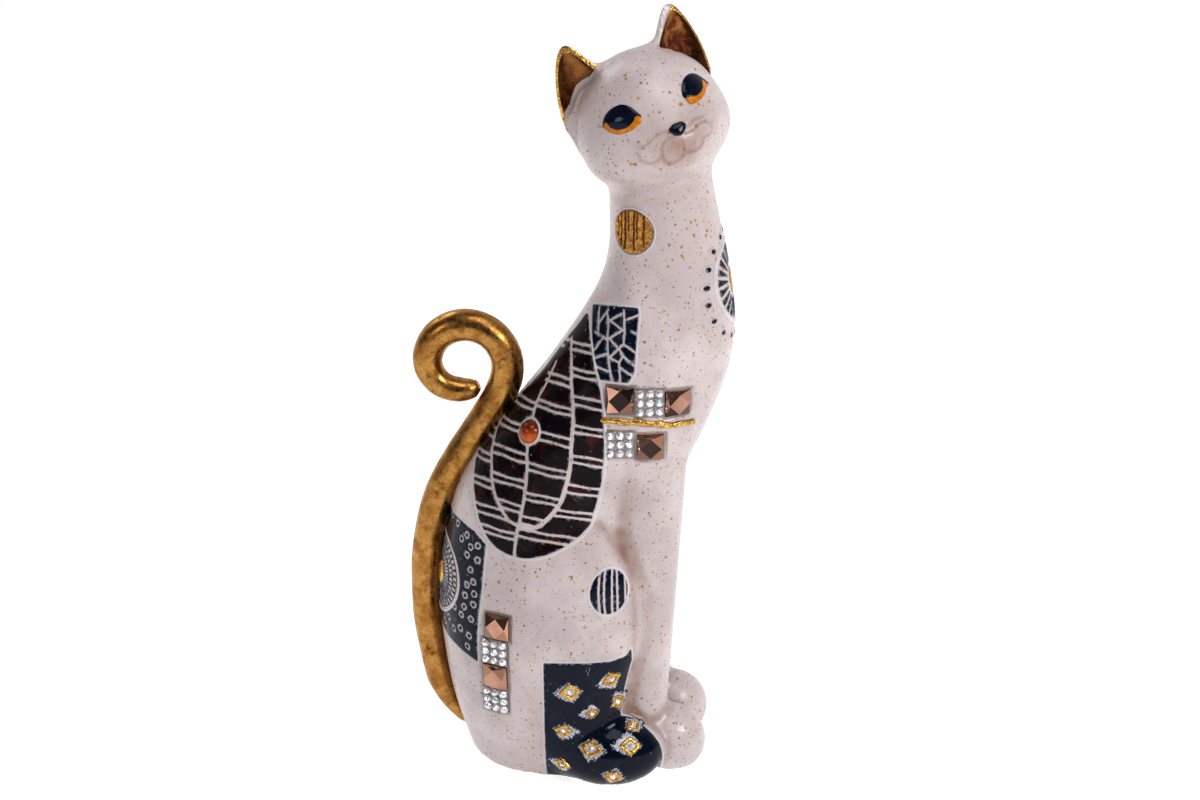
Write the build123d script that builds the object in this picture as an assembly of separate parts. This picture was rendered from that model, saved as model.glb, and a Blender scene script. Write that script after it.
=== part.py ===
from build123d import *
import math
import os
import numpy as np

# Seated cat figurine. Millimetres, +Z up, cat facing +X with its head turned to -Y.
# Origin: middle of the figure's length and width, on the plane that it stands on.

# Torso rows: height, back, front and half width of an ellipse at that height
TORSO_ROWS = [
    (0, -40, 22, 31), (20, -46, 25, 35), (41, -49.5, 27, 37), (60, -51, 29, 37.5),
    (81, -50, 31, 35.5), (100, -46.5, 36, 33), (118, -41, 42, 31), (133, -32, 50, 30),
    (147, -21, 56, 29.5), (165, -7, 62, 28), (182, 4, 64, 25.5), (198, 13, 62.5, 22.5),
    (214, 17, 59.5, 20), (230, 17, 56, 19), (250, 18, 52, 18.5),
]

# The torso runs on up inside the head to this height
TORSO_TOP = 256

# Haunches, legs and feet, given for the +Y side and mirrored
THIGH = ((4.5, 20, 70), (30, 20, 41))
HAUNCH = ((3, 19, 26), (24, 19, 34))
FRONT_LEG = ((34, 12.5, 150), (30.5, 12.5, 12), 14.5, 10.5)
HIND_FOOT = ((18.5, 27.5, 11.5), (22.5, 14.5, 14.5))
FRONT_PAW = ((43, 13, 8.5), (14.5, 13, 14.5))

# Head: centre, radii (forward, sideways, up) and attitude in degrees
HEAD_CENTRE = (31, -4, 261)
HEAD_RADII = (25, 26.5, 24.5)
HEAD_YAW, HEAD_PITCH, HEAD_ROLL = -72, 12, 19
CHEEKS = ((5, 0, -8), (19, 25.5, 15))
MUZZLE = ((20, 0, -10), (8.5, 12, 8.5))

# Ear corners in the head's own frame: forward, sideways, up
EAR_INNER, EAR_OUTER, EAR_TIP = (3.5, 9.2, 20.8), (-4, 28.6, 6), (2, 21.5, 33.5)
# Ear shell: depth behind and in front of the corner plane, sideways bow, fullness towards the tip
EAR_BACK, EAR_FRONT, EAR_BOW, EAR_FULLNESS = 9, 1.3, 0.1, 0.52
# Root of an ear below its base line: how far down (share of the ear's height) and how fast it narrows there
EAR_ROOT, EAR_ROOT_SLOPE = -0.45, 0.6
# Hollow front of an ear: width share, depth, offset in front and how far its size lags behind the ear's
CUP_WIDTH, CUP_DEPTH, CUP_OFFSET, CUP_DROP = 0.92, 5.8, 1.5, 0.06
EAR_RINGS = (EAR_ROOT, 0, 0.3, 0.6, 0.85, 0.97)
CUP_RINGS = (-0.25, 0, 0.3, 0.55, 0.75, 0.88)
SMALLEST_RING = 0.03

# Blend widths where one form runs into the next
HAUNCH_BLEND, THIGH_BLEND, LEG_BLEND = 12, 5, 4
FOOT_BLEND, PAW_BLEND, CHEEK_BLEND, NECK_BLEND = 4, 5, 8, 7

# Shell
WALL = 5
CAVITY_TOP = 205
SECTION_POINTS = 48
# Levels of the loft's outlines: (first, last, spacing) below the chin and through the head, then the crown
BODY_LEVELS, HEAD_LEVELS, CROWN_LEVEL = (0, 225, 9), (229, 281, 4), 284.5
# Section centres move from the torso's middle to the head's between these heights
NECK_LOW, NECK_HIGH = 225, 245
SECTION_REACH, SECTION_HALVINGS = 90, 40
CAVITY_START, CAVITY_SPACING = 20, 16
# Block below the ground that trims the feet level
GROUND_BLOCK = 300

# Base closure
FELT_THICK, PLATE_THICK = 1, 3
LEDGE = 3
BASE_FIT = 0.15
FELT_GAP = 1
VENT_RADIUS = 6
STOPPER_LIP_RADIUS, STOPPER_LIP_THICK, STOPPER_LENGTH = 8, 0.8, 7

# Tail centre line in the plane Y = 0 (X, Z) and its radius along the way
TAIL_LINE = [
    (-41.2, 4), (-48.7, 14), (-53.9, 31), (-56.6, 50), (-57.1, 68), (-55.4, 87), (-51, 105),
    (-43.3, 121.5), (-36.4, 132.5), (-29.4, 144), (-24, 154), (-22, 163), (-25.3, 172.8),
    (-33, 178.3), (-43, 178), (-50.5, 172), (-52.8, 162.5), (-48.5, 155), (-42, 152.6),
    (-37, 153), (-33.6, 154.6),
]
TAIL_RADII = [(0, 2), (0.01, 3.2), (0.1, 6), (0.5, 6.6), (0.85, 6.2), (0.97, 5), (0.99, 4), (1, 2.2)]
TAIL_RINGS = 40
TAIL_ROOT_SHARE, TAIL_END_SHARE = 0.01, 0.99
DOWEL_RADIUS, DOWEL_IN_BODY, DOWEL_IN_TAIL = 1.25, 4, 5
DOWEL_HEIGHTS = (42, 96)

# Square stones: side, girdle, full height; the table is a square turned by 45 degrees
STONE_SIDE, STONE_GIRDLE, STONE_HEIGHT, STONE_TABLE = 10, 1.1, 2.9, 8
STONE_SINK = 1.1
# Crystal nets: 3 x 3 round crystals on a thin square net
CRYSTAL_RADIUS, CRYSTAL_GIRDLE, CRYSTAL_HEIGHT, CRYSTAL_TABLE = 1.6, 0.5, 1.6, 0.55
CRYSTAL_PITCH, CRYSTAL_FACETS = 3.6, 8
NET_SIDE, NET_THICK, NET_SINK = 10.8, 0.6, 0.9
# Cabochon and small foot crystals
CABOCHON_RADIUS, CABOCHON_HEIGHT, CABOCHON_SINK = 4.5, 4.2, 0.8
FOOT_CRYSTAL_RADIUS, FOOT_CRYSTAL_HEIGHT, FOOT_CRYSTAL_SINK = 1.35, 1.3, 0.5
# Cutters for the seats reach this far out from their floors
SEAT_REACH, FOOT_SEAT_REACH = 8, 4

# Places near the surface on the -Y side: each is moved onto the surface, then mirrored to +Y
STONE_PLACES = {
    "shoulder_upper_rear_stone": (23.3, -28.3, 161.4),
    "shoulder_upper_front_stone": (44.3, -23.9, 159.5),
    "shoulder_lower_stone": (34.6, -27.4, 142.9),
    "hip_upper_stone": (-23.5, -35.6, 68.5),
    "hip_lower_stone": (-24.5, -35.1, 46.4),
}
NET_PLACES = {
    "shoulder_upper": (34.2, -27.6, 160.4),
    "shoulder_lower": (23.4, -29.0, 144.1),
    "hip_upper": (-24.6, -35.3, 57.4),
    "hip_lower": (-24.8, -34.6, 35.4),
}
CABOCHON_PLACE = (-11.2, -21, 144.9)
FOOT_CRYSTAL_PLACES = [
    (5.3, -39.2, 43.3), (20.8, -34.1, 47.5), (23, -30.5, 35.1), (13.6, -36.6, 33.1), (2.6, -38.7, 25.6),
    (13.7, -38.5, 18.1), (29.1, -39, 20.4), (29.5, -30.7, 25.1), (2.1, -37.4, 9.9), (22.3, -41.5, 7.5),
]
SIDES = {"right": 1, "left": -1}

# Walking a place onto the surface: reach of the slope measurement, number and length of the steps
SLOPE_REACH, SURFACE_STEPS, STEP_SHARE = 0.2, 12, 0.8
NEARLY_NOTHING = 1e-9


def row_spline(rows, column):
    """Natural cubic spline of one column of the rows against their first column."""
    z = np.array([row[0] for row in rows], float)
    y = np.array([row[column] for row in rows], float)
    step = np.diff(z)
    count = len(z)
    system, right = np.eye(count), np.zeros(count)
    for i in range(1, count - 1):
        system[i, i - 1:i + 2] = step[i - 1], 2 * (step[i - 1] + step[i]), step[i]
        right[i] = 3 * ((y[i + 1] - y[i]) / step[i] - (y[i] - y[i - 1]) / step[i - 1])
    bend = np.linalg.solve(system, right)

    def value(at):
        at = np.clip(at, z[0], z[-1])
        i = np.clip(np.searchsorted(z, at) - 1, 0, count - 2)
        d = at - z[i]
        slope = (y[i + 1] - y[i]) / step[i] - step[i] * (2 * bend[i] + bend[i + 1]) / 3
        return y[i] + slope * d + bend[i] * d ** 2 + (bend[i + 1] - bend[i]) / (3 * step[i]) * d ** 3

    return value


torso_back, torso_front, torso_half_width = (row_spline(TORSO_ROWS, column) for column in (1, 2, 3))


def head_axes():
    """Forward, left and up axes of the head, as columns."""
    yaw, pitch, roll = (math.radians(a) for a in (HEAD_YAW, HEAD_PITCH, HEAD_ROLL))
    forward = np.array([math.cos(yaw) * math.cos(pitch), math.sin(yaw) * math.cos(pitch), math.sin(pitch)])
    level = np.array([-math.sin(yaw), math.cos(yaw), 0])
    upright = np.cross(forward, level)
    left = level * math.cos(roll) + upright * math.sin(roll)
    up = upright * math.cos(roll) - level * math.sin(roll)
    return np.stack([forward, left, up], 1)


HEAD_AXES = head_axes()


def in_head(point):
    """Position of a point given in the head's own frame."""
    return np.array(HEAD_CENTRE) + HEAD_AXES @ np.array(point, float)


def mirrored(point, side):
    return (point[0], side * point[1], point[2])


def blend(a, b, width):
    """Union of two distances with a rounded valley of the given width."""
    overlap = np.maximum(width - np.abs(a - b), 0) / width
    return np.minimum(a, b) - overlap ** 2 * width / 4


def ellipsoid_distance(points, centre, radii, axes=None):
    local = points - np.array(centre, float)
    if axes is not None:
        local = local @ axes
    radii = np.array(radii, float)
    scaled = np.sqrt(((local / radii) ** 2).sum(1)) + NEARLY_NOTHING
    slope = np.sqrt(((local / radii ** 2) ** 2).sum(1)) + NEARLY_NOTHING
    return scaled * (scaled - 1) / slope


def taper_distance(points, start, end, start_radius, end_radius):
    """Distance to a round limb that tapers from start to end."""
    start, end = np.array(start, float), np.array(end, float)
    axis = end - start
    along = np.clip((points - start) @ axis / (axis @ axis), 0, 1)
    nearest = start + along[:, None] * axis
    radius = start_radius + (end_radius - start_radius) * along
    return np.linalg.norm(points - nearest, axis=1) - radius


def torso_distance(points):
    x, y, z = points.T
    back, front, half_width = torso_back(z), torso_front(z), torso_half_width(z)
    local = np.stack([x - (back + front) / 2, y], 1)
    radii = np.stack([(front - back) / 2, half_width], 1)
    scaled = np.sqrt(((local / radii) ** 2).sum(1)) + NEARLY_NOTHING
    slope = np.sqrt(((local / radii ** 2) ** 2).sum(1)) + NEARLY_NOTHING
    side = scaled * (scaled - 1) / slope
    over = z - TORSO_TOP
    return np.where(over > 0, np.hypot(np.maximum(side, 0), over), np.maximum(side, over))


def head_distance(points):
    head = ellipsoid_distance(points, HEAD_CENTRE, HEAD_RADII, HEAD_AXES)
    cheeks = ellipsoid_distance(points, in_head(CHEEKS[0]), CHEEKS[1], HEAD_AXES)
    muzzle = ellipsoid_distance(points, in_head(MUZZLE[0]), MUZZLE[1], HEAD_AXES)
    return blend(blend(head, cheeks, CHEEK_BLEND), muzzle, CHEEK_BLEND)


def trunk_distance(points):
    """Signed distance to the cat's body without feet, ears or tail."""
    distance = torso_distance(points)
    for side in (-1, 1):
        thigh = ellipsoid_distance(points, mirrored(THIGH[0], side), THIGH[1])
        haunch = ellipsoid_distance(points, mirrored(HAUNCH[0], side), HAUNCH[1])
        distance = blend(distance, blend(thigh, haunch, HAUNCH_BLEND), THIGH_BLEND)
    legs = [
        taper_distance(points, mirrored(FRONT_LEG[0], side), mirrored(FRONT_LEG[1], side), *FRONT_LEG[2:])
        for side in (-1, 1)
    ]
    distance = blend(distance, blend(legs[0], legs[1], LEG_BLEND), LEG_BLEND)
    return blend(distance, head_distance(points), NECK_BLEND)


def body_distance(points):
    """Signed distance to the whole body without ears or tail."""
    distance = trunk_distance(points)
    for (centre, radii), width in ((HIND_FOOT, FOOT_BLEND), (FRONT_PAW, PAW_BLEND)):
        for side in (-1, 1):
            distance = blend(distance, ellipsoid_distance(points, mirrored(centre, side), radii), width)
    return distance


def surface_frame(place):
    """Plane that touches the body nearest to a place: X level, Z outward."""
    point = np.array([place], float)
    offsets = np.eye(3) * SLOPE_REACH
    for _ in range(SURFACE_STEPS):
        slope = np.array([(body_distance(point + o) - body_distance(point - o))[0] for o in offsets])
        normal = slope / np.linalg.norm(slope)
        point = point - STEP_SHARE * body_distance(point)[0] * normal
    level = np.cross([0, 0, 1], normal)
    return Plane(origin=tuple(point[0]), x_dir=tuple(level), z_dir=tuple(normal))


def body_section(height):
    """Closed outline of the body at one height, found outward from the middle of the form."""
    middle_x = (torso_back(height) + torso_front(height)) / 2
    merge = min(max((height - NECK_LOW) / (NECK_HIGH - NECK_LOW), 0), 1)
    centre_x = middle_x * (1 - merge) + HEAD_CENTRE[0] * merge
    centre = np.array([centre_x, HEAD_CENTRE[1] * merge, height])
    turns = np.linspace(0, 2 * math.pi, SECTION_POINTS, endpoint=False)
    rays = np.stack([np.cos(turns), np.sin(turns), np.zeros(SECTION_POINTS)], 1)
    inner = np.zeros(SECTION_POINTS)
    outer = np.full(SECTION_POINTS, float(SECTION_REACH))
    for _ in range(SECTION_HALVINGS):
        middle = (inner + outer) / 2
        inside = trunk_distance(centre + rays * middle[:, None]) < 0
        inner = np.where(inside, middle, inner)
        outer = np.where(inside, outer, middle)
    points = [tuple(p) for p in centre + rays * inner[:, None]]
    even = [i / SECTION_POINTS for i in range(SECTION_POINTS + 1)]
    return Wire([Edge.make_spline(points, periodic=True, parameters=even)])


def levels(first, last, spacing):
    return [float(z) for z in range(first, last + 1, spacing)]


def outer_form():
    """The body without ears: a loft through level outlines, closer together at the head, plus four feet."""
    heights = levels(*BODY_LEVELS) + levels(*HEAD_LEVELS) + [CROWN_LEVEL]
    form = Solid.make_loft([body_section(h) for h in heights])
    ground = Pos(0, 0, -GROUND_BLOCK / 2) * Box(GROUND_BLOCK, GROUND_BLOCK, GROUND_BLOCK)
    for centre, radii in (HIND_FOOT, FRONT_PAW):
        for side in (-1, 1):
            foot = Pos(*mirrored(centre, side)) * scale(Sphere(1), by=radii)
            form = form + (foot - ground)
    return form


def ear_size(height):
    """Width of an ear at a height, as a share of its width at the base."""
    if height < 0:
        return 1 + EAR_ROOT_SLOPE * height
    return max(max(1 - height, 0) ** EAR_FULLNESS, SMALLEST_RING)


def ear(side):
    """One ear: a tapering shell with a hollow front, standing on the head."""
    inner, outer, tip = (np.array(mirrored(p, side), float) for p in (EAR_INNER, EAR_OUTER, EAR_TIP))
    base = (inner + outer) / 2
    rise = tip - base
    across = (outer - inner) / 2
    half_width = np.linalg.norm(across)
    front = np.cross(rise, across)
    front = front * np.sign(front[0]) / np.linalg.norm(front)

    def ring(height, width, depth, offset):
        bow = EAR_BOW * math.sin(math.pi * min(max(height, 0), 1))
        centre = in_head(base + rise * height + across * bow + front * offset)
        plane = Plane(origin=tuple(centre), x_dir=tuple(HEAD_AXES @ across), z_dir=tuple(HEAD_AXES @ rise))
        return Face(Wire([Edge.make_ellipse(half_width * width, depth, plane)]))

    def shell_ring(height):
        size = ear_size(height)
        return ring(height, size, (EAR_BACK + EAR_FRONT) / 2 * size, (EAR_FRONT - EAR_BACK) / 2 * size)

    def cup_ring(height):
        size = ear_size(height + CUP_DROP)
        return ring(height, CUP_WIDTH * size, CUP_DEPTH * size, CUP_OFFSET)

    outside = loft([shell_ring(h) for h in EAR_RINGS])
    hollow_front = loft([cup_ring(h) for h in CUP_RINGS])
    return outside - hollow_front


def cavity_section(height, inset):
    back, front = float(torso_back(height)), float(torso_front(height))
    half_width = float(torso_half_width(height))
    plane = Plane(origin=((back + front) / 2, 0, height))
    return Face(Wire([Edge.make_ellipse((front - back) / 2 - inset, half_width - inset, plane)]))


def hollow():
    """Inside of the casting, with the wider recess for the base plate and felt below it."""
    floor = FELT_THICK + PLATE_THICK
    heights = [floor] + list(range(CAVITY_START, CAVITY_TOP, CAVITY_SPACING)) + [CAVITY_TOP]
    inside = loft([cavity_section(h, WALL + LEDGE if h == floor else WALL) for h in heights])
    recess = Pos(0, 0, -floor) * extrude(base_outline(0), 2 * floor)
    return inside + recess


def base_outline(inset):
    """Outline of the base opening, the same at any height of the closure."""
    return cavity_section(0, WALL + inset)


def tail_radius(share):
    return float(np.interp(share, [row[0] for row in TAIL_RADII], [row[1] for row in TAIL_RADII]))


def tail():
    """The gilded tail, lofted through round sections square to its centre line."""
    line = Spline(*[(x, 0, z) for x, z in TAIL_LINE])
    between = [i / TAIL_RINGS for i in range(1, TAIL_RINGS)]
    shares = [0, TAIL_ROOT_SHARE] + between + [TAIL_END_SHARE, 1]
    rings = []
    for share in shares:
        plane = Plane(origin=line @ share, x_dir=(0, 1, 0), z_dir=line % share)
        rings.append(Wire([Edge.make_circle(tail_radius(share), plane)]))
    return Solid.make_loft(rings)


def dowels():
    """Level pins through the seam between the back and the tail."""
    pins = []
    length = DOWEL_IN_BODY + DOWEL_IN_TAIL
    for height in DOWEL_HEIGHTS:
        centre = float(torso_back(height)) + (DOWEL_IN_BODY - DOWEL_IN_TAIL) / 2
        pins.append(Pos(centre, 0, height) * Rot(0, 90, 0) * Cylinder(DOWEL_RADIUS, length))
    return pins


def stone():
    """Square stone: prism girdle, then eight facets up to a turned square table."""
    half, table = STONE_SIDE / 2, STONE_TABLE / 2
    corners = [(half, half), (-half, half), (-half, -half), (half, -half)]
    tips = [(table, 0), (0, table), (-table, 0), (0, -table)]
    low = [Vector(x, y, 0) for x, y in corners]
    girdle = [Vector(x, y, STONE_GIRDLE) for x, y in corners]
    top = [Vector(x, y, STONE_HEIGHT) for x, y in tips]
    loops = [low[::-1], top]
    for i in range(4):
        j = (i + 1) % 4
        loops.append([low[i], low[j], girdle[j], girdle[i]])
        loops.append([girdle[i], girdle[j], top[j]])
        loops.append([girdle[i], top[j], top[i]])
    faces = [Face(Wire.make_polygon(loop, close=True)) for loop in loops]
    return Solid(Shell(faces))


def crystal(radius, height):
    """Round faceted crystal with a flat back."""
    girdle = extrude(RegularPolygon(radius, CRYSTAL_FACETS), CRYSTAL_GIRDLE)
    low = Pos(0, 0, CRYSTAL_GIRDLE) * RegularPolygon(radius, CRYSTAL_FACETS)
    high = Pos(0, 0, height) * RegularPolygon(radius * CRYSTAL_TABLE, CRYSTAL_FACETS)
    return girdle + loft([low, high], ruled=True)


def net_grid():
    return [(i * CRYSTAL_PITCH, j * CRYSTAL_PITCH) for j in (-1, 0, 1) for i in (-1, 0, 1)]


def cabochon():
    """Domed stone with a flat back and an upright edge as high as its seat is deep."""
    rise = CABOCHON_HEIGHT - CABOCHON_SINK
    dome_radius = (CABOCHON_RADIUS ** 2 + rise ** 2) / (2 * rise)
    ball = Pos(0, 0, CABOCHON_HEIGHT - dome_radius) * Sphere(dome_radius)
    column = Pos(0, 0, CABOCHON_HEIGHT / 2) * Cylinder(CABOCHON_RADIUS, CABOCHON_HEIGHT)
    return column & ball


def sunk(shape_at_origin, frame, depth):
    """A shape set into the surface at a frame."""
    return frame * Pos(0, 0, -depth) * shape_at_origin


def standing_box(side, height):
    return Box(side, side, height, align=(Align.CENTER, Align.CENTER, Align.MIN))


def standing_cylinder(radius, height):
    return Cylinder(radius, height, align=(Align.CENTER, Align.CENTER, Align.MIN))


nodes = {}
cuts = []


def add_stones(side_name, side):
    for name, place in STONE_PLACES.items():
        frame = surface_frame(mirrored(place, side))
        nodes[f"{side_name}_{name}"] = [sunk(stone(), frame, STONE_SINK)]
        cuts.append(sunk(standing_box(STONE_SIDE, SEAT_REACH), frame, STONE_SINK))


def add_nets(side_name, side):
    """Square nets, each with its nine crystals standing on it."""
    gem = crystal(CRYSTAL_RADIUS, CRYSTAL_HEIGHT)
    for name, place in NET_PLACES.items():
        frame = surface_frame(mirrored(place, side))
        nodes[f"{side_name}_{name}_net"] = [sunk(standing_box(NET_SIDE, NET_THICK), frame, NET_SINK)]
        gems = [sunk(Pos(x, y, 0) * gem, frame, NET_SINK - NET_THICK) for x, y in net_grid()]
        nodes[f"{side_name}_{name}_crystals"] = gems
        cuts.append(sunk(standing_box(NET_SIDE, SEAT_REACH), frame, NET_SINK))


def add_cabochon(side_name, side):
    frame = surface_frame(mirrored(CABOCHON_PLACE, side))
    nodes[f"{side_name}_cabochon"] = [sunk(cabochon(), frame, CABOCHON_SINK)]
    cuts.append(sunk(standing_cylinder(CABOCHON_RADIUS, SEAT_REACH), frame, CABOCHON_SINK))


def add_foot_crystals(side_name, side):
    gem = crystal(FOOT_CRYSTAL_RADIUS, FOOT_CRYSTAL_HEIGHT)
    seat = standing_cylinder(FOOT_CRYSTAL_RADIUS, FOOT_SEAT_REACH)
    gems = []
    for place in FOOT_CRYSTAL_PLACES:
        frame = surface_frame(mirrored(place, side))
        gems.append(sunk(gem, frame, FOOT_CRYSTAL_SINK))
        cuts.append(sunk(seat, frame, FOOT_CRYSTAL_SINK))
    nodes[f"{side_name}_foot_crystals"] = gems


def add_base():
    """Plate, felt ring and stopper that close the casting from below."""
    middle = (float(torso_back(0)) + float(torso_front(0))) / 2
    drill_length = 10 * PLATE_THICK
    plate = Pos(0, 0, FELT_THICK) * extrude(base_outline(BASE_FIT), PLATE_THICK)
    nodes["base_plate"] = [plate - Pos(middle, 0, 0) * Cylinder(VENT_RADIUS, drill_length)]
    felt = extrude(base_outline(2 * BASE_FIT), FELT_THICK)
    nodes["base_felt"] = [felt - Pos(middle, 0, 0) * Cylinder(STOPPER_LIP_RADIUS + FELT_GAP, drill_length)]
    lip_height = FELT_THICK - STOPPER_LIP_THICK / 2
    lip = Pos(middle, 0, lip_height) * Cylinder(STOPPER_LIP_RADIUS, STOPPER_LIP_THICK)
    stem = Pos(middle, 0, FELT_THICK + STOPPER_LENGTH / 2) * Cylinder(VENT_RADIUS, STOPPER_LENGTH)
    nodes["vent_stopper"] = [lip + stem]


def build():
    for side_name, side in SIDES.items():
        add_stones(side_name, side)
        add_nets(side_name, side)
        add_cabochon(side_name, side)
        add_foot_crystals(side_name, side)
    tail_form = tail()
    pins = dowels()
    body = outer_form() + ear(-1) + ear(1)
    body = body - hollow()
    body = body - tail_form
    body = body - pins
    body = body - cuts
    nodes["body_casting"] = [body]
    nodes["tail_casting"] = [tail_form - pins]
    nodes["tail_dowels"] = pins
    add_base()


def write():
    os.makedirs("parts", exist_ok=True)
    for name, pieces in nodes.items():
        solids = [s for piece in pieces for s in piece.solids()]
        shape = solids[0] if len(solids) == 1 else Compound(children=solids)
        export_step(shape, f"parts/{name}.step")


build()
write()
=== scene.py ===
import math
import bmesh
import bpy
import numpy as np
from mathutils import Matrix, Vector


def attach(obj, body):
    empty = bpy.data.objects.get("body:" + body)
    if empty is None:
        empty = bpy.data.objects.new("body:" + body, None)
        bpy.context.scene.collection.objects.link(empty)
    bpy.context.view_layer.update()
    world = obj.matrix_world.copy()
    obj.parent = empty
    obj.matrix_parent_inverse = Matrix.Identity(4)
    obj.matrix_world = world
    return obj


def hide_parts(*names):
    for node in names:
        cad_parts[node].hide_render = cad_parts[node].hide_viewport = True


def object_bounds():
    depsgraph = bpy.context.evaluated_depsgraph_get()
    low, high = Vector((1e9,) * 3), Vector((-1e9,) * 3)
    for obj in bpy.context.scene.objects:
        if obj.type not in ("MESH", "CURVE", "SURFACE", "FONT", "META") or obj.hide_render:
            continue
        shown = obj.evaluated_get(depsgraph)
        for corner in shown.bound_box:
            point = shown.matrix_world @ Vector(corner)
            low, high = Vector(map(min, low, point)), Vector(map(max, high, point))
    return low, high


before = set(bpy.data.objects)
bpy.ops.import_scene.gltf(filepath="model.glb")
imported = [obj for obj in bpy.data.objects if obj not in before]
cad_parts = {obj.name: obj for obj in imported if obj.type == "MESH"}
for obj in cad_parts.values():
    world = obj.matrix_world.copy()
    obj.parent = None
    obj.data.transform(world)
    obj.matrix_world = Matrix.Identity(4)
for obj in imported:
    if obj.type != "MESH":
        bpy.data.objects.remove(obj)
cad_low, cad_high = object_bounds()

import openvdb
from mathutils import Vector

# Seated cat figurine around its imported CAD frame. Forms are worked out in millimetres, in the
# frame's own axes (+Z up, cat facing +X, head turned to -Y), and go to Blender in metres.
MM = 0.001
GROUND = cad_low.z / MM

# ---------------------------------------------------------------- the cast form, as in the CAD model
# Torso rows: height, back, front and half width of an ellipse at that height
TORSO_ROWS = [
    (0, -40, 22, 31), (20, -46, 25, 35), (41, -49.5, 27, 37), (60, -51, 29, 37.5),
    (81, -50, 31, 35.5), (100, -46.5, 36, 33), (118, -41, 42, 31), (133, -32, 50, 30),
    (147, -21, 56, 29.5), (165, -7, 62, 28), (182, 4, 64, 25.5), (198, 13, 62.5, 22.5),
    (214, 17, 59.5, 20), (230, 17, 56, 19), (250, 18, 52, 18.5),
]
TORSO_TOP = 256
THIGH = ((4.5, 20, 70), (30, 20, 41))
HAUNCH = ((3, 19, 26), (24, 19, 34))
FRONT_LEG = ((34, 12.5, 150), (30.5, 12.5, 12), 14.5, 10.5)
HIND_FOOT = ((18.5, 27.5, 11.5), (22.5, 14.5, 14.5))
FRONT_PAW = ((43, 13, 8.5), (14.5, 13, 14.5))
HEAD_CENTRE = (31, -4, 261)
HEAD_RADII = (25, 26.5, 24.5)
HEAD_YAW, HEAD_PITCH, HEAD_ROLL = -72, 12, 19
CHEEKS = ((5, 0, -8), (19, 25.5, 15))
MUZZLE = ((20, 0, -10), (8.5, 12, 8.5))
HAUNCH_BLEND, THIGH_BLEND, LEG_BLEND = 12, 5, 4
FOOT_BLEND, PAW_BLEND, CHEEK_BLEND, NECK_BLEND, EAR_BLEND = 4, 5, 8, 7, 4

# Ear corners in the head's own frame: forward, sideways, up
EAR_INNER, EAR_OUTER, EAR_TIP = (3.5, 9.2, 20.8), (-4, 28.6, 6), (2, 21.5, 33.5)
EAR_BACK, EAR_FRONT = 9, 1.3
EAR_BOW, EAR_FULLNESS = 0.1, 0.52
CUP_WIDTH, CUP_DEPTH, CUP_OFFSET, CUP_DROP = 0.92, 5.8, 1.5, 0.06

# Opening for the base plate
BASE_RADIUS, BASE_DEPTH, BASE_X = 26, 4, -9

TAIL_LINE = [
    (-41.2, 4), (-48.7, 14), (-53.9, 31), (-56.6, 50), (-57.1, 68), (-55.4, 87), (-51, 105),
    (-43.3, 121.5), (-36.4, 132.5), (-29.4, 144), (-24, 154), (-22, 163), (-25.3, 172.8),
    (-33, 178.3), (-43, 178), (-50.5, 172), (-52.8, 162.5), (-48.5, 155), (-42, 152.6),
    (-37, 153), (-33.6, 154.6),
]
TAIL_RADII = [(0, 2), (0.01, 3.2), (0.1, 6), (0.5, 6.6), (0.85, 6.2), (0.97, 5), (0.99, 4), (1, 2.2)]

# Places of set stones and crystals on the -Y side, as in the CAD model
STONE_PLACES = [(23.3, -28.3, 161.4), (44.3, -23.9, 159.5), (34.6, -27.4, 142.9),
                (-23.5, -35.6, 68.5), (-24.5, -35.1, 46.4)]
NET_PLACES = {
    "shoulder_upper": (34.2, -27.6, 160.4), "shoulder_lower": (23.4, -29.0, 144.1),
    "hip_upper": (-24.6, -35.3, 57.4), "hip_lower": (-24.8, -34.6, 35.4),
}
CABOCHON_PLACE = (-11.2, -21, 144.9)
FOOT_CRYSTAL_PLACES = [
    (5.3, -39.2, 43.3), (20.8, -34.1, 47.5), (23, -30.5, 35.1), (13.6, -36.6, 33.1), (2.6, -38.7, 25.6),
    (13.7, -38.5, 18.1), (29.1, -39, 20.4), (29.5, -30.7, 25.1), (2.1, -37.4, 9.9), (22.3, -41.5, 7.5),
]
CRYSTAL_PITCH, CRYSTAL_RADIUS, CRYSTAL_HEIGHT, CRYSTAL_BED = 3.6, 1.6, 1.6, 0.3
FOOT_CRYSTAL_RADIUS, FOOT_CRYSTAL_HEIGHT, FOOT_CRYSTAL_SINK = 1.35, 1.3, 0.5
TRAY_HALF, TRAY_DEPTH, TRAY_SLOPE = 6.2, 0.6, 0.7
STONE_SIDE, STONE_GIRDLE, STONE_HEIGHT, STONE_TABLE, STONE_SINK = 10, 1.1, 2.9, 8, 1.1


def row_spline(rows, column):
    """Natural cubic spline of one column of the rows against their first column."""
    z = np.array([row[0] for row in rows], float)
    y = np.array([row[column] for row in rows], float)
    step = np.diff(z)
    count = len(z)
    system, right = np.eye(count), np.zeros(count)
    for i in range(1, count - 1):
        system[i, i - 1:i + 2] = step[i - 1], 2 * (step[i - 1] + step[i]), step[i]
        right[i] = 3 * ((y[i + 1] - y[i]) / step[i] - (y[i] - y[i - 1]) / step[i - 1])
    bend = np.linalg.solve(system, right)

    def value(at):
        at = np.clip(at, z[0], z[-1])
        i = np.clip(np.searchsorted(z, at) - 1, 0, count - 2)
        d = at - z[i]
        slope = (y[i + 1] - y[i]) / step[i] - step[i] * (2 * bend[i] + bend[i + 1]) / 3
        return y[i] + slope * d + bend[i] * d ** 2 + (bend[i + 1] - bend[i]) / (3 * step[i]) * d ** 3

    return value


torso_back, torso_front, torso_half_width = (row_spline(TORSO_ROWS, column) for column in (1, 2, 3))


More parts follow.
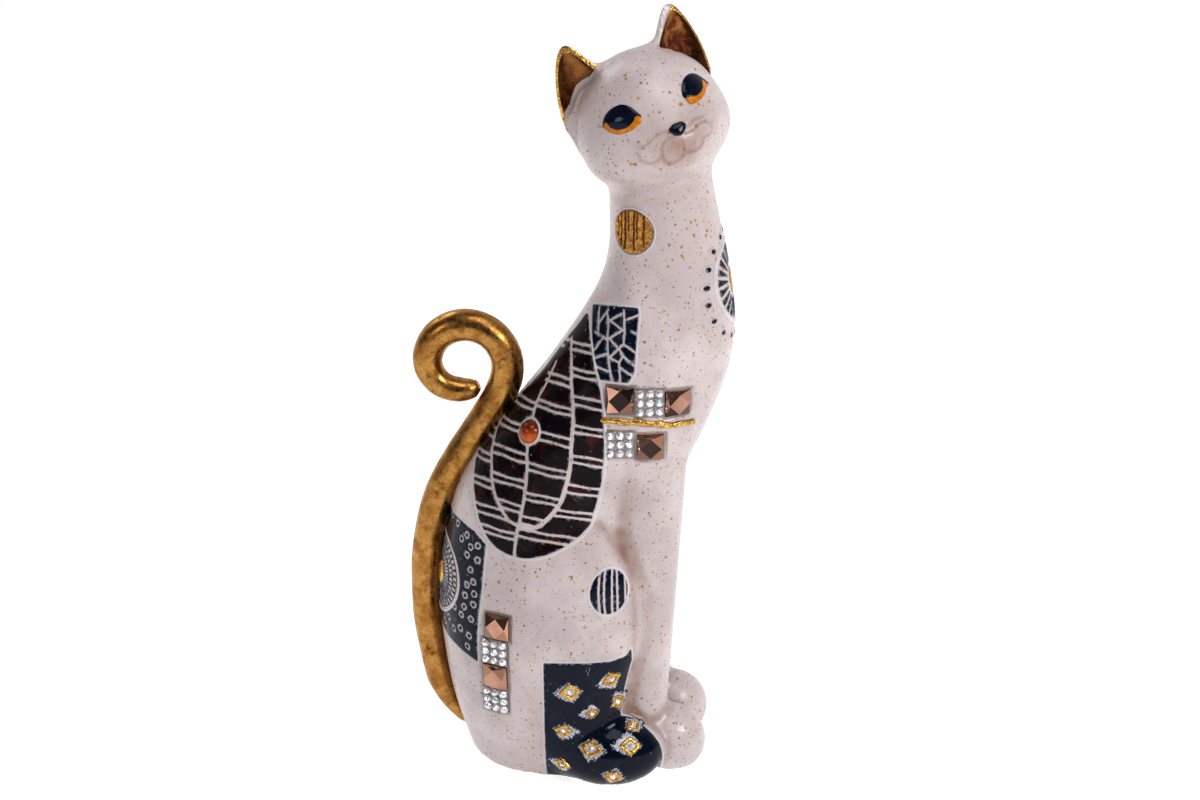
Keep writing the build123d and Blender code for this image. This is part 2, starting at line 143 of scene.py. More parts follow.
def head_axes():
    """Forward, left and up axes of the head, as columns."""
    yaw, pitch, roll = (math.radians(a) for a in (HEAD_YAW, HEAD_PITCH, HEAD_ROLL))
    forward = np.array([math.cos(yaw) * math.cos(pitch), math.sin(yaw) * math.cos(pitch), math.sin(pitch)])
    level = np.array([-math.sin(yaw), math.cos(yaw), 0])
    upright = np.cross(forward, level)
    left = level * math.cos(roll) + upright * math.sin(roll)
    up = upright * math.cos(roll) - level * math.sin(roll)
    return np.stack([forward, left, up], 1)


HEAD_AXES = head_axes()


def in_head(point):
    return np.array(HEAD_CENTRE) + HEAD_AXES @ np.array(point, float)


def to_head(points):
    return (points - np.array(HEAD_CENTRE)) @ HEAD_AXES


def mirrored(point, side):
    return (point[0], side * point[1], point[2])


def blend(a, b, width):
    """Union of two distances with a rounded valley of the given width."""
    overlap = np.maximum(width - np.abs(a - b), 0) / width
    return np.minimum(a, b) - overlap ** 2 * width / 4


def round_distance(local, radii):
    """Distance to an ellipse or ellipsoid about the origin."""
    scaled = np.sqrt(((local / radii) ** 2).sum(1)) + 1e-9
    slope = np.sqrt(((local / radii ** 2) ** 2).sum(1)) + 1e-9
    return scaled * (scaled - 1) / slope


def ellipsoid_distance(points, centre, radii, axes=None):
    local = points - np.array(centre, float)
    if axes is not None:
        local = local @ axes
    return round_distance(local, np.array(radii, float))


def taper_distance(points, start, end, start_radius, end_radius):
    start, end = np.array(start, float), np.array(end, float)
    axis = end - start
    along = np.clip((points - start) @ axis / (axis @ axis), 0, 1)
    nearest = start + along[:, None] * axis
    return np.linalg.norm(points - nearest, axis=1) - (start_radius + (end_radius - start_radius) * along)


def torso_distance(points):
    x, y, z = points.T
    back, front, half_width = torso_back(z), torso_front(z), torso_half_width(z)
    local = np.stack([x - (back + front) / 2, y], 1)
    side = round_distance(local, np.stack([(front - back) / 2, half_width], 1))
    over = z - TORSO_TOP
    return np.where(over > 0, np.hypot(np.maximum(side, 0), over), np.maximum(side, over))


def head_distance(points):
    head = ellipsoid_distance(points, HEAD_CENTRE, HEAD_RADII, HEAD_AXES)
    cheeks = ellipsoid_distance(points, in_head(CHEEKS[0]), CHEEKS[1], HEAD_AXES)
    muzzle = ellipsoid_distance(points, in_head(MUZZLE[0]), MUZZLE[1], HEAD_AXES)
    return blend(blend(head, cheeks, CHEEK_BLEND), muzzle, CHEEK_BLEND)


def body_distance(points):
    """Signed distance to the whole body without ears or tail. Legs and haunches use the nearer side only."""
    folded = np.column_stack([points[:, 0], np.abs(points[:, 1]), points[:, 2]])
    distance = torso_distance(points)
    haunch = blend(ellipsoid_distance(folded, *THIGH), ellipsoid_distance(folded, *HAUNCH), HAUNCH_BLEND)
    distance = blend(distance, haunch, THIGH_BLEND)
    legs = [
        taper_distance(points, mirrored(FRONT_LEG[0], side), mirrored(FRONT_LEG[1], side), *FRONT_LEG[2:])
        for side in (-1, 1)
    ]
    distance = blend(distance, blend(legs[0], legs[1], LEG_BLEND), LEG_BLEND)
    distance = blend(distance, head_distance(points), NECK_BLEND)
    distance = blend(distance, ellipsoid_distance(folded, *HIND_FOOT), FOOT_BLEND)
    return blend(distance, ellipsoid_distance(folded, *FRONT_PAW), PAW_BLEND)


def gradient(distance, points, reach=0.15):
    offsets = np.eye(3) * reach
    slope = np.stack([distance(points + o) - distance(points - o) for o in offsets], 1)
    return slope / (2 * reach)


def surface_frame(place):
    """Origin on the body nearest to a place, and level, rising and outward directions there."""
    point = np.array([place], float)
    for _ in range(12):
        slope = gradient(body_distance, point)
        normal = slope[0] / np.linalg.norm(slope[0])
        point = point - 0.8 * body_distance(point)[0] * normal
    level = np.cross([0, 0, 1], normal)
    level = level / np.linalg.norm(level)
    return point[0], level, np.cross(normal, level), normal


# ---------------------------------------------------------------- ears
def ear_basis(side):
    """Base point and axes of an ear in the head's frame: rise, half width outward, front (unit length)."""
    inner, outer, tip = (np.array(mirrored(p, side), float) for p in (EAR_INNER, EAR_OUTER, EAR_TIP))
    base = (inner + outer) / 2
    rise, across = tip - base, (outer - inner) / 2
    front = np.cross(rise, across)
    front = front * np.sign(front[0]) / np.linalg.norm(front)
    return base, np.stack([rise, across, front], 1)


def ear_local(points, side):
    """Height along the ear (0 to 1), place across it (-1 to 1) and depth in front of it in mm."""
    base, axes = ear_basis(side)
    height, across, depth = ((to_head(points) - base) @ np.linalg.inv(axes).T).T
    return height, across - EAR_BOW * np.sin(np.pi * np.clip(height, 0, 1)), depth


def from_ear(height, across, depth, side):
    base, axes = ear_basis(side)
    across = across + EAR_BOW * np.sin(np.pi * np.clip(height, 0, 1))
    local = base + np.stack([height, across, depth], -1) @ axes.T
    return np.array(HEAD_CENTRE) + local @ HEAD_AXES.T


def ear_size(height):
    size = np.where(height < 0, 1 + 0.6 * height, np.clip(1 - height, 0, 1) ** EAR_FULLNESS)
    return size - np.clip(height - 1, 0, 9)


def ear_distance(points, side):
    height, across, depth = ear_local(points, side)
    outline = np.hypot(across, np.where(depth < 0, depth / EAR_BACK, depth / EAR_FRONT)) - ear_size(height)
    return np.maximum(outline * 7, (-0.45 - height) * 18)


def cup_size(height):
    return np.maximum(ear_size(height + CUP_DROP), 0.01)


def cup_distance(points, side):
    height, across, depth = ear_local(points, side)
    outline = np.hypot(across / CUP_WIDTH, (depth - CUP_OFFSET) / CUP_DEPTH) - cup_size(height)
    return np.maximum(outline * 5, (-0.25 - height) * 18)


# Where the leaf in the ears ends: least height for each place across the near (-Y) ear, and least
# place across for each height in the far ear
NEAR_LEAF_END = [(-0.85, 0.09), (-0.56, 0.10), (-0.24, 0.20), (-0.02, 0.24), (0.18, 0.22), (0.46, 0.15),
                 (0.69, 0.135), (0.87, 0.12)]
FAR_LEAF_END = [(0.08, -0.85), (0.36, -0.64), (0.61, -0.42), (0.82, -0.2), (0.95, -0.05)]


def leaf_end(height, across, side):
    """Distance in mm past the end of an ear's leaf, negative on the leaf."""
    if side < 0:
        return (np.interp(across, *np.array(NEAR_LEAF_END).T) - height) * 22
    return (np.interp(height, *np.array(FAR_LEAF_END).T) - across) * 12


BULGE_BLEND = 2.5


def filled_cup_distance(points, side):
    """Hollow of an ear as cast, with the head bulging into the near one below the end of its leaf."""
    hollow = cup_distance(points, side)
    if side > 0:
        return hollow
    height, across, _ = ear_local(points, side)
    bulge = 0.6 * leaf_end(height, across, side) - 0.4
    return -blend(-hollow, -bulge, BULGE_BLEND)


def solid_head_distance(points):
    """Body with solid ears, before their fronts are hollowed."""
    distance = body_distance(points)
    for side in (-1, 1):
        distance = blend(distance, ear_distance(points, side), EAR_BLEND)
    return distance


# ---------------------------------------------------------------- lines and outlines on flat charts
CURVE_STEPS = 6


def smooth(points, closed):
    """Curve through given points (Catmull-Rom)."""
    p = np.array(points, float)
    ring = np.vstack([p[-1], p, p[:2]]) if closed else np.vstack([2 * p[0] - p[1], p, 2 * p[-1] - p[-2]])
    out = []
    for i in range(1, len(ring) - 2):
        a, b, c, d = ring[i - 1:i + 3]
        for t in np.linspace(0, 1, CURVE_STEPS, endpoint=False):
            out.append(0.5 * (2 * b + (c - a) * t + (2 * a - 5 * b + 4 * c - d) * t ** 2
                              + (3 * b - a - 3 * c + d) * t ** 3))
    if not closed:
        out.append(p[-1])
    return np.array(out)


def line_distance(a, b, line):
    """Distance from flat points to an open line."""
    best = np.full(a.shape, 1e9)
    for start, end in zip(line[:-1], line[1:]):
        run = end - start
        t = np.clip(((a - start[0]) * run[0] + (b - start[1]) * run[1]) / (run @ run + 1e-12), 0, 1)
        best = np.minimum(best, np.hypot(a - start[0] - t * run[0], b - start[1] - t * run[1]))
    return best


def loop_distance(a, b, loop):
    """Signed distance to a closed outline, negative inside."""
    closed = np.vstack([loop, loop[:1]])
    inside = np.zeros(a.shape, bool)
    for start, end in zip(closed[:-1], closed[1:]):
        crosses = (start[1] > b) != (end[1] > b)
        rise = end[1] - start[1]
        at = start[0] + (b - start[1]) * (end[0] - start[0]) / (rise if rise else 1e-12)
        inside ^= crosses & (a < at)
    away = line_distance(a, b, closed)
    return np.where(inside, -away, away)


def ripple(a, b, size, amount, seed=0.0):
    """Slow uneven shift that makes drawn lines look hand made."""
    k = 2 * np.pi / size
    shift_a = np.sin(k * (0.7 * b + 0.4 * a) + seed) + 0.6 * np.sin(k * (1.3 * a - 1.7 * b) + 2.1 * seed + 1)
    shift_b = (np.sin(k * (0.8 * a - 0.5 * b) + 1.7 * seed + 2)
               + 0.6 * np.sin(k * (1.6 * b + 1.1 * a) + seed + 4))
    return a + amount * shift_a, b + amount * shift_b


def cut(value, distance, half_width):
    """Takes a band around a line out of a region."""
    return np.maximum(value, half_width - distance)


def chart(origin, out, up=(0, 0, 1)):
    """A flat sheet beside the cat: origin, right, up and outward directions."""
    out = np.array(out, float) / np.linalg.norm(out)
    right = np.cross(up, out)
    right = right / np.linalg.norm(right)
    return np.array(origin, float), right, np.cross(out, right), out


def flat(face, points):
    offset = np.atleast_2d(np.array(points, float)) - face[0]
    return np.stack([offset @ face[1], offset @ face[2]], 1)


# A chart looks for the surface this far ahead, on a coarse grid first
REACH, COARSE = 70, 2.5
# Parts of a sheet that lean away more than this, or leap further than this many steps, are left out
LEAST_FACING, LONGEST_JUMP = 0.12, 6


def between_cells(grid, i, j):
    """Values of a grid at fractional places."""
    i0, j0 = np.minimum(i.astype(int), grid.shape[0] - 2), np.minimum(j.astype(int), grid.shape[1] - 2)
    s, t = i - i0, j - j0
    if grid.ndim == 3:
        s, t = s[:, None], t[:, None]
    return (grid[i0, j0] * (1 - s) * (1 - t) + grid[i0 + 1, j0] * s * (1 - t)
            + grid[i0, j0 + 1] * (1 - s) * t + grid[i0 + 1, j0 + 1] * s * t)


def drape(face, a, b, distance):
    """Points where straight lines from a chart meet the surface, and the outward normals there."""
    origin, right, up, out = face
    low_a, low_b = a.min() - COARSE, b.min() - COARSE
    count_a = int((a.max() - low_a) / COARSE) + 3
    count_b = int((b.max() - low_b) / COARSE) + 3
    ga, gb = np.meshgrid(low_a + COARSE * np.arange(count_a), low_b + COARSE * np.arange(count_b),
                         indexing="ij")
    start = origin + ga.reshape(-1, 1) * right + gb.reshape(-1, 1) * up + REACH * out
    travel = np.zeros(len(start))
    for _ in range(40):
        travel = np.minimum(travel + 0.9 * distance(start - travel[:, None] * out), 2 * REACH)
    grid = travel.reshape(count_a, count_b)
    guess = between_cells(grid, (a - low_a) / COARSE, (b - low_b) / COARSE)
    start = origin + a[:, None] * right + b[:, None] * up + REACH * out
    for _ in range(5):
        value = distance(start - guess[:, None] * out)
        slope = (distance(start - (guess + 0.1)[:, None] * out) - value) / 0.1
        guess = guess + np.clip(value / np.maximum(-slope, 0.15), -2, 2)
    points = start - guess[:, None] * out
    normals = gradient(distance, points)
    normals /= np.linalg.norm(normals, axis=1, keepdims=True) + 1e-9
    met = np.abs(distance(points)) < 0.1
    return points, normals, met


def traced_region(value, live):
    """Faces of the part of a grid where value < 0, cut exactly at value 0.
    Gives grid positions (fractional i, j), quads, odd polygons and edge pairs along the outline."""
    inside = (value < 0) & live
    index = np.full(value.shape, -1)
    index[inside] = np.arange(inside.sum())
    spots = [tuple(s) for s in np.argwhere(inside).astype(float)]
    count = inside[:-1, :-1].astype(int) + inside[1:, :-1] + inside[1:, 1:] + inside[:-1, 1:]
    whole = np.argwhere(count == 4)
    square = ((0, 0), (1, 0), (1, 1), (0, 1))
    quads = np.stack([index[whole[:, 0] + di, whole[:, 1] + dj] for di, dj in square], 1)
    crossings, odd, rim = {}, [], []
    usable = live[:-1, :-1] & live[1:, :-1] & live[1:, 1:] & live[:-1, 1:]
    for i, j in np.argwhere((count > 0) & (count < 4) & usable):
        corners = [(i, j), (i + 1, j), (i + 1, j + 1), (i, j + 1)]
        loop, exits = [], []
        for k in range(4):
            here, there = corners[k], corners[(k + 1) % 4]
            if inside[here]:
                loop.append(index[here])
            if inside[here] != inside[there]:
                key = (here, there) if here < there else (there, here)
                if key not in crossings:
                    low, high = value[key[0]], value[key[1]]
                    share = min(max(low / (low - high), 0.02), 0.98)
                    crossings[key] = len(spots)
                    spots.append((key[0][0] + share * (key[1][0] - key[0][0]),
                                  key[0][1] + share * (key[1][1] - key[0][1])))
                loop.append(crossings[key])
                if inside[here]:
                    exits.append(len(loop) - 1)
        for at in exits:
            rim.append((loop[at], loop[(at + 1) % len(loop)]))
        odd.append(loop)
    return np.array(spots).reshape(-1, 2), quads, odd, rim, int(inside.sum())


def sheet(face, low, high, step, pattern, distance, base=0.06, rise=0.25, edge=0.7, relief=None, skirt=0.5):
    """A thin glazed layer on the surface. pattern(a, b, points) is negative where the layer is.
    Its edge is rounded: height grows from base by rise over the edge width."""
    axis_a, axis_b = np.arange(low[0], high[0] + step, step), np.arange(low[1], high[1] + step, step)
    ga, gb = np.meshgrid(axis_a, axis_b, indexing="ij")
    points, normals, met = drape(face, ga.ravel(), gb.ravel(), distance)
    value = pattern(ga.ravel(), gb.ravel(), points).reshape(ga.shape)
    facing = (normals @ face[3]).reshape(ga.shape)
    live = met.reshape(ga.shape) & (facing > LEAST_FACING)
    grid = points.reshape(ga.shape + (3,))
    jump = np.zeros(ga.shape, bool)
    jump[:-1] |= np.linalg.norm(np.diff(grid, axis=0), axis=2) > LONGEST_JUMP * step
    jump[:, :-1] |= np.linalg.norm(np.diff(grid, axis=1), axis=2) > LONGEST_JUMP * step
    live &= ~jump
    spots, quads, odd, rim, solid = traced_region(value, live)
    a, b = axis_a[0] + spots[:, 0] * step, axis_b[0] + spots[:, 1] * step
    points, normals, _ = drape(face, a, b, distance)
    depth = np.zeros(len(spots))
    cells = spots[:solid].astype(int)
    depth[:solid] = -value[cells[:, 0], cells[:, 1]]
    share = np.clip(depth / edge, 0, 1)
    height = base + rise * np.sqrt(np.clip(1 - (1 - share) ** 2, 0, 1))
    if relief is not None:
        height = height + relief(a, b, points) * share
    top = points + normals * height[:, None]
    top[:, 2] = np.maximum(top[:, 2], GROUND + 0.1)
    faces = quads.tolist() + [loop for loop in odd if len(set(loop)) > 2]
    vertices, depths = [top], [depth]
    if rim:
        pairs = np.array(rim)
        count = len(top)
        edge_ids, back = np.unique(pairs, return_inverse=True)
        back = back.reshape(pairs.shape)
        lower = points[edge_ids] - normals[edge_ids] * skirt
        lower[:, 2] = np.maximum(lower[:, 2], GROUND + 0.1)
        vertices += [top[edge_ids], lower]
        depths += [depth[edge_ids], depth[edge_ids]]
        high, deep = count + back, count + len(edge_ids) + back
        faces += np.stack([high[:, 1], high[:, 0], deep[:, 0], deep[:, 1]], 1).tolist()
    return np.vstack(vertices), faces, {"edge": np.concatenate(depths)}


def joined(*parts):
    """Several sheets as one mesh."""
    vertices, faces, edge, base = [], [], [], 0
    for points, loops, attributes in parts:
        vertices.append(points)
        faces += [[base + int(k) for k in loop] for loop in loops]
        edge.append(attributes["edge"])
        base += len(points)
    return np.vstack(vertices), faces, {"edge": np.concatenate(edge)}


def reflected(part):
    points, faces, attributes = part
    return points * [1, -1, 1], [loop[::-1] for loop in faces], attributes


# ---------------------------------------------------------------- pieces
def piece(name, part, material, slot_name, shade_smooth=True):
    points, faces, attributes = part
    mesh = bpy.data.meshes.new(name)
    mesh.from_pydata((np.asarray(points) * MM).tolist(), [], faces)
    for key, values in attributes.items():
        layer = mesh.attributes.new(key, "FLOAT", "POINT")
        layer.data.foreach_set("value", np.asarray(values, np.float32))
    mesh.polygons.foreach_set("use_smooth", [shade_smooth] * len(mesh.polygons))
    mesh.materials.append(material)
    mesh.validate()
    mesh.update()
    thing = bpy.data.objects.new(name, mesh)
    bpy.context.scene.collection.objects.link(thing)
    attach(thing, "root")
    return thing


def both_sides(name, part, material, slot_name, **options):
    return [piece(f"right_{name}", part, material, slot_name, **options),
            piece(f"left_{name}", reflected(part), material, slot_name, **options)]


# ---------------------------------------------------------------- materials
class Graph:
    """A node material with one Principled shader, in millimetre sizes."""

    def __init__(self, name, **constants):
        self.material = bpy.data.materials.new(name)
        self.material.use_nodes = True
        self.tree = self.material.node_tree
        self.tree.nodes.clear()
        output = self.node("ShaderNodeOutputMaterial")
        self.shader = self.node("ShaderNodeBsdfPrincipled")
        self.tree.links.new(self.shader.outputs[0], output.inputs["Surface"])
        self.place = self.node("ShaderNodeTexCoord").outputs["Object"]
        for key, value in constants.items():
            self.shader.inputs[key.replace("_", " ")].default_value = value

    def node(self, kind, **settings):
        made = self.tree.nodes.new(kind)
        for key, value in settings.items():
            setattr(made, key, value)
        return made

    def put(self, socket, value):
        if isinstance(value, bpy.types.NodeSocket):
            self.tree.links.new(value, socket)
        else:
            socket.default_value = value

    def shade(self, name, value):
        self.put(self.shader.inputs[name], value)

    def done(self, colour, rough, normal=None):
        """Joins the shader's main inputs and gives the material."""
        self.shade("Base Color", colour)
        self.shade("Roughness", rough)
        if normal is not None:
            self.shade("Normal", normal)
        return self.material

    def shifted(self, seed):
        if not seed:
            return self.place
        move = self.node("ShaderNodeVectorMath", operation="ADD")
        self.put(move.inputs[0], self.place)
        move.inputs[1].default_value = (0.37 * seed, 0.21 * seed, 0.53 * seed)
        return move.outputs[0]

    def noise(self, size, detail=3, rough=0.55, seed=0, warp=0.0):
        made = self.node("ShaderNodeTexNoise")
        self.put(made.inputs["Vector"], self.shifted(seed))
        made.inputs["Scale"].default_value = 1 / (size * MM)
        made.inputs["Detail"].default_value = detail
        made.inputs["Roughness"].default_value = rough
        made.inputs["Distortion"].default_value = warp
        return made.outputs["Fac"]

    def math(self, operation, a, b=0.0, clamp=False):
        made = self.node("ShaderNodeMath", operation=operation, use_clamp=clamp)
        self.put(made.inputs[0], a)
        self.put(made.inputs[1], b)
        return made.outputs[0]

    def ramp(self, value, low, high, to_low=0.0, to_high=1.0):
        made = self.node("ShaderNodeMapRange", interpolation_type="SMOOTHSTEP")
        self.put(made.inputs["Value"], value)
        for key, number in (("From Min", low), ("From Max", high), ("To Min", to_low), ("To Max", to_high)):
            self.put(made.inputs[key], number)
        return made.outputs["Result"]

    def mix(self, share, a, b):
        made = self.node("ShaderNodeMix", data_type="RGBA")
        self.put(made.inputs["Factor"], share)
        for socket, value in zip((made.inputs[6], made.inputs[7]), (a, b)):
            self.put(socket, value if isinstance(value, bpy.types.NodeSocket) else (*value, 1))
        return made.outputs[2]

    def speckle(self, spacing, small, large, chance, seed):
        """Round spots of random size, one to a cell at most; sizes are shares of the spacing."""
        cells = self.node("ShaderNodeTexVoronoi")
        self.put(cells.inputs["Vector"], self.shifted(seed))
        cells.inputs["Scale"].default_value = 1 / (spacing * MM)
        parts = self.node("ShaderNodeSeparateColor")
        self.put(parts.inputs[0], cells.outputs["Color"])
        size = self.math("MULTIPLY", parts.outputs[0], parts.outputs[0])
        radius = self.math("ADD", self.math("MULTIPLY", size, large - small), small)
        near = self.math("SUBTRACT", radius, cells.outputs["Distance"])
        spot = self.ramp(near, 0, 0.3 * small)
        return self.math("MULTIPLY", spot, self.math("LESS_THAN", parts.outputs[1], chance)), parts.outputs[2]

    def attribute(self, name):
        return self.node("ShaderNodeAttribute", attribute_name=name).outputs["Fac"]

    def bump(self, height, distance, strength=1.0, after=None):
        made = self.node("ShaderNodeBump")
        made.inputs["Strength"].default_value = strength
        made.inputs["Distance"].default_value = distance * MM
        self.put(made.inputs["Height"], height)
        if after is not None:
            self.put(made.inputs["Normal"], after)
        return made.outputs[0]


# Speckles of the cast: spacing, least and greatest radius as shares of it, chance, strength, two
# colours and seed
SPECKLES = [
    (0.95, 0.14, 0.30, 0.75, 0.4, (0.34, 0.21, 0.14), (0.46, 0.33, 0.22), 11),
    (1.7, 0.15, 0.28, 0.85, 0.8, (0.32, 0.155, 0.07), (0.48, 0.28, 0.12), 12),
    (2.6, 0.13, 0.25, 0.7, 0.9, (0.28, 0.13, 0.05), (0.50, 0.28, 0.09), 15),
    (4.2, 0.09, 0.18, 0.7, 0.9, (0.30, 0.13, 0.045), (0.52, 0.28, 0.06), 13),
    (8, 0.06, 0.12, 0.75, 0.9, (0.33, 0.15, 0.04), (0.56, 0.31, 0.05), 14),
]
GOLD_SPECKLES = (13, 14)


def speckled_cast(name, pale, deep, spots=True):
    """Cream cast body: cloudy lilac cream under a satin glaze, with ochre and gold speckles, and a brown
    tint: stained on the muzzle and in its lines, painted shade in hollows, creases and at the ear roots.
    """
    g = Graph(name, Coat_Weight=0.35, Coat_Roughness=0.16, IOR=1.45)
    clouds = g.noise(26, 4, 0.6)
    colour = g.mix(g.ramp(clouds, 0.36, 0.64), deep, pale)
    grain = g.noise(0.55, 2, 0.7, seed=3)
    colour = g.mix(g.ramp(grain, 0.52, 0.72, 0, 0.25), colour, (0.40, 0.31, 0.28))
    # Brown tint from the body's vertex attribute: staining on the muzzle and in its lines, painted shade in
    # hollows, in the valley by the front leg and at the ear roots
    brown_stain_and_shade = g.math("MULTIPLY", g.attribute("brown_stain_and_shade"), g.ramp(g.noise(9, 4, 0.6, seed=5), 0.25, 0.65, 0.6, 1.0))
    colour = g.mix(brown_stain_and_shade, colour, (0.27, 0.15, 0.11))
    height = g.math("MULTIPLY", grain, 0.25)
    gold = 0.0
    if spots:
        for spacing, small, large, chance, strength, dark, light, seed in SPECKLES:
            spot, pick = g.speckle(spacing, small, large, chance, seed)
            colour = g.mix(g.math("MULTIPLY", spot, strength), colour, g.mix(pick, dark, light))
            height = g.math("ADD", height, g.math("MULTIPLY", spot, -0.5))
            if seed in GOLD_SPECKLES:
                bright = g.math("MULTIPLY", spot, g.math("GREATER_THAN", pick, 0.45))
                gold = g.math("ADD", gold, bright, clamp=True)
        g.shade("Metallic", g.math("MULTIPLY", gold, 0.35))
    g.shade("Base Color", colour)
    g.shade("Roughness", g.ramp(g.noise(5, 3, 0.6, seed=7), 0.3, 0.7, 0.32, 0.46))
    soft = g.bump(g.noise(3.2, 2, 0.5, seed=9), 0.18, 0.5)
    g.shade("Normal", g.bump(height, 0.06, 0.6, soft))
    return g.material


def enamel(name, dark, tint, tint_share, smear=0.35, shine=0.32):
    """Thick glossy enamel with cloudy colour, pale scratches and specks, and pale wiped edges."""
    g = Graph(name, IOR=1.4, Specular_IOR_Level=shine)
    clouds = g.noise(6.5, 5, 0.62, seed=21, warp=0.6)
    colour = g.mix(g.ramp(clouds, 0.56 - 0.3 * tint_share, 0.74, 0, 0.9), dark, tint)
    haze = g.noise(14, 5, 0.7, seed=22)
    colour = g.mix(g.ramp(haze, 0.52, 0.8, 0, 0.04), colour, (0.42, 0.44, 0.50))
    specks, pick = g.speckle(3.4, 0.04, 0.10, 0.45, 23)
    speck_colour = g.mix(g.ramp(pick, 0.4, 0.6), (0.7, 0.7, 0.74), (0.5, 0.3, 0.08))
    colour = g.mix(g.math("MULTIPLY", specks, 0.85), colour, speck_colour)
    scratch = g.node("ShaderNodeTexWave", wave_type="BANDS", bands_direction="DIAGONAL")
    g.put(scratch.inputs["Vector"], g.place)
    for key, value in (("Scale", 42), ("Distortion", 22), ("Detail", 3), ("Detail Scale", 2.2)):
        scratch.inputs[key].default_value = value
    some = g.ramp(g.noise(5, 2, 0.5, seed=24), 0.62, 0.70)
    lines = g.math("MULTIPLY", g.ramp(scratch.outputs["Fac"], 0.975, 1.0), some)
    colour = g.mix(g.math("MULTIPLY", lines, 0.4), colour, (0.6, 0.62, 0.68))
    worn = g.math("ADD", g.attribute("edge"), g.ramp(g.noise(1.6, 4, 0.7, seed=25), 0.2, 0.8, -0.75, 0.55))
    colour = g.mix(g.ramp(worn, 0.22, -0.1, 0, smear), colour, (0.60, 0.60, 0.68))
    g.shade("Base Color", colour)
    g.shade("Roughness", g.ramp(haze, 0.4, 0.7, 0.08, 0.24))
    waves = g.bump(g.noise(2.6, 3, 0.5, seed=26), 0.22, 0.5)
    g.shade("Normal", g.bump(g.noise(0.5, 2, 0.5, seed=27), 0.03, 0.4, waves))
    return g.material


def smeared_enamel(name):
    """Navy enamel partly wiped away: bluish white that fades out raggedly towards the edge."""
    g = Graph(name, IOR=1.4, Specular_IOR_Level=0.35)
    ragged = g.ramp(g.noise(1.3, 5, 0.7, seed=28, warp=1.0), 0.2, 0.8, -1.3, 1.0)
    share = g.ramp(g.math("ADD", g.attribute("edge"), ragged), 0.1, 0.9)
    pale = g.mix(g.ramp(g.noise(2.2, 4, 0.7, seed=29), 0.35, 0.65), (0.72, 0.72, 0.80), (0.42, 0.44, 0.54))
    return g.done(g.mix(share, (0.003, 0.010, 0.028), pale),
                  g.ramp(g.noise(2, 2, 0.5, seed=30), 0.3, 0.7, 0.2, 0.4),
                  g.bump(g.noise(0.8, 3, 0.6, seed=26), 0.05, 0.5))


def gilding(name, bright, middle, dark, dark_share, size, rough=(0.16, 0.38), hammered=0.35, warp=0.8):
    """Metal leaf: bright and dull patches, dark hollows and fine wrinkles."""
    g = Graph(name, Metallic=1.0)
    patches = g.noise(size, 5, 0.62, seed=31, warp=warp)
    stains = g.noise(size * 0.55, 6, 0.7, seed=32, warp=1.5 * warp)
    colour = g.mix(g.ramp(patches, 0.35, 0.65), middle, bright)
    colour = g.mix(g.ramp(stains, 0.62 - 0.3 * dark_share, 0.40 - 0.3 * dark_share), colour, dark)
    fine = g.noise(0.7, 3, 0.7, seed=33)
    colour = g.mix(g.ramp(fine, 0.57, 0.7, 0, 0.7), colour, dark)
    g.shade("Base Color", colour)
    g.shade("Roughness", g.ramp(stains, 0.35, 0.65, rough[1], rough[0]))
    beaten = g.bump(g.noise(size * 0.4, 3, 0.5, seed=34), hammered, 0.8)
    g.shade("Normal", g.bump(fine, 0.03, 0.6, beaten))
    return g.material


def ear_metal(name):
    """Ear fronts: burnt copper in the hollow, running out to gold along the rim, with painted light: paler
    gold where the lit attribute is high.
    """
    g = Graph(name, Metallic=1.0)
    stains = g.noise(7, 6, 0.68, seed=41, warp=1.0)
    reach = g.math("ADD", g.attribute("edge"), g.ramp(stains, 0.2, 0.8, -3.2, 3.2))
    colour = g.mix(g.ramp(reach, 0.3, 3.4), (0.33, 0.145, 0.05), (0.10, 0.023, 0.011))
    red = g.ramp(g.noise(3, 5, 0.7, seed=42, warp=1), 0.55, 0.7, 0, 0.8)
    colour = g.mix(red, colour, (0.24, 0.08, 0.035))
    worn = g.ramp(g.noise(4, 5, 0.7, seed=44, warp=0.8), 0.3, 0.6, 0.25, 1.0)
    # Painted light: the lit attribute paints paler gold towards the top and inner side of the near ear,
    # broken up at random
    colour = g.mix(g.math("MULTIPLY", g.attribute("lit"), worn), colour, (0.23, 0.105, 0.035))
    colour = g.mix(g.ramp(g.attribute("edge"), 0.32, 0.05), colour, (0.80, 0.52, 0.2))
    return g.done(colour, g.ramp(stains, 0.3, 0.7, 0.14, 0.36),
                  g.bump(g.noise(1.8, 4, 0.6, seed=43), 0.25, 0.7))


def paint(name, colour, second, size, rough=0.12):
    """Brushed glossy paint."""
    g = Graph(name, IOR=1.42, Specular_IOR_Level=0.4)
    return g.done(g.mix(g.ramp(g.noise(size, 4, 0.6, seed=51), 0.35, 0.65), colour, second),
                  g.ramp(g.noise(size * 2, 2, 0.5, seed=52), 0.3, 0.7, rough, rough + 0.15),
                  g.bump(g.noise(0.9, 3, 0.6, seed=53), 0.06, 0.5))


def mirror_stone(name):
    """Copper foiled cut glass; the glint attribute is a painted reflection that sets how bright each facet
    looks, from dark to the copper foil.
    """
    g = Graph(name, Metallic=1.0, Coat_Weight=0.5, Coat_Roughness=0.01)
    foil = g.mix(g.ramp(g.noise(5, 2, 0.5, seed=61), 0.3, 0.7), (0.60, 0.31, 0.21), (0.72, 0.40, 0.29))
    return g.done(g.mix(g.attribute("glint"), (0.012, 0.005, 0.004), foil),
                  g.ramp(g.noise(2, 2, 0.5, seed=62), 0.4, 0.7, 0.04, 0.12))


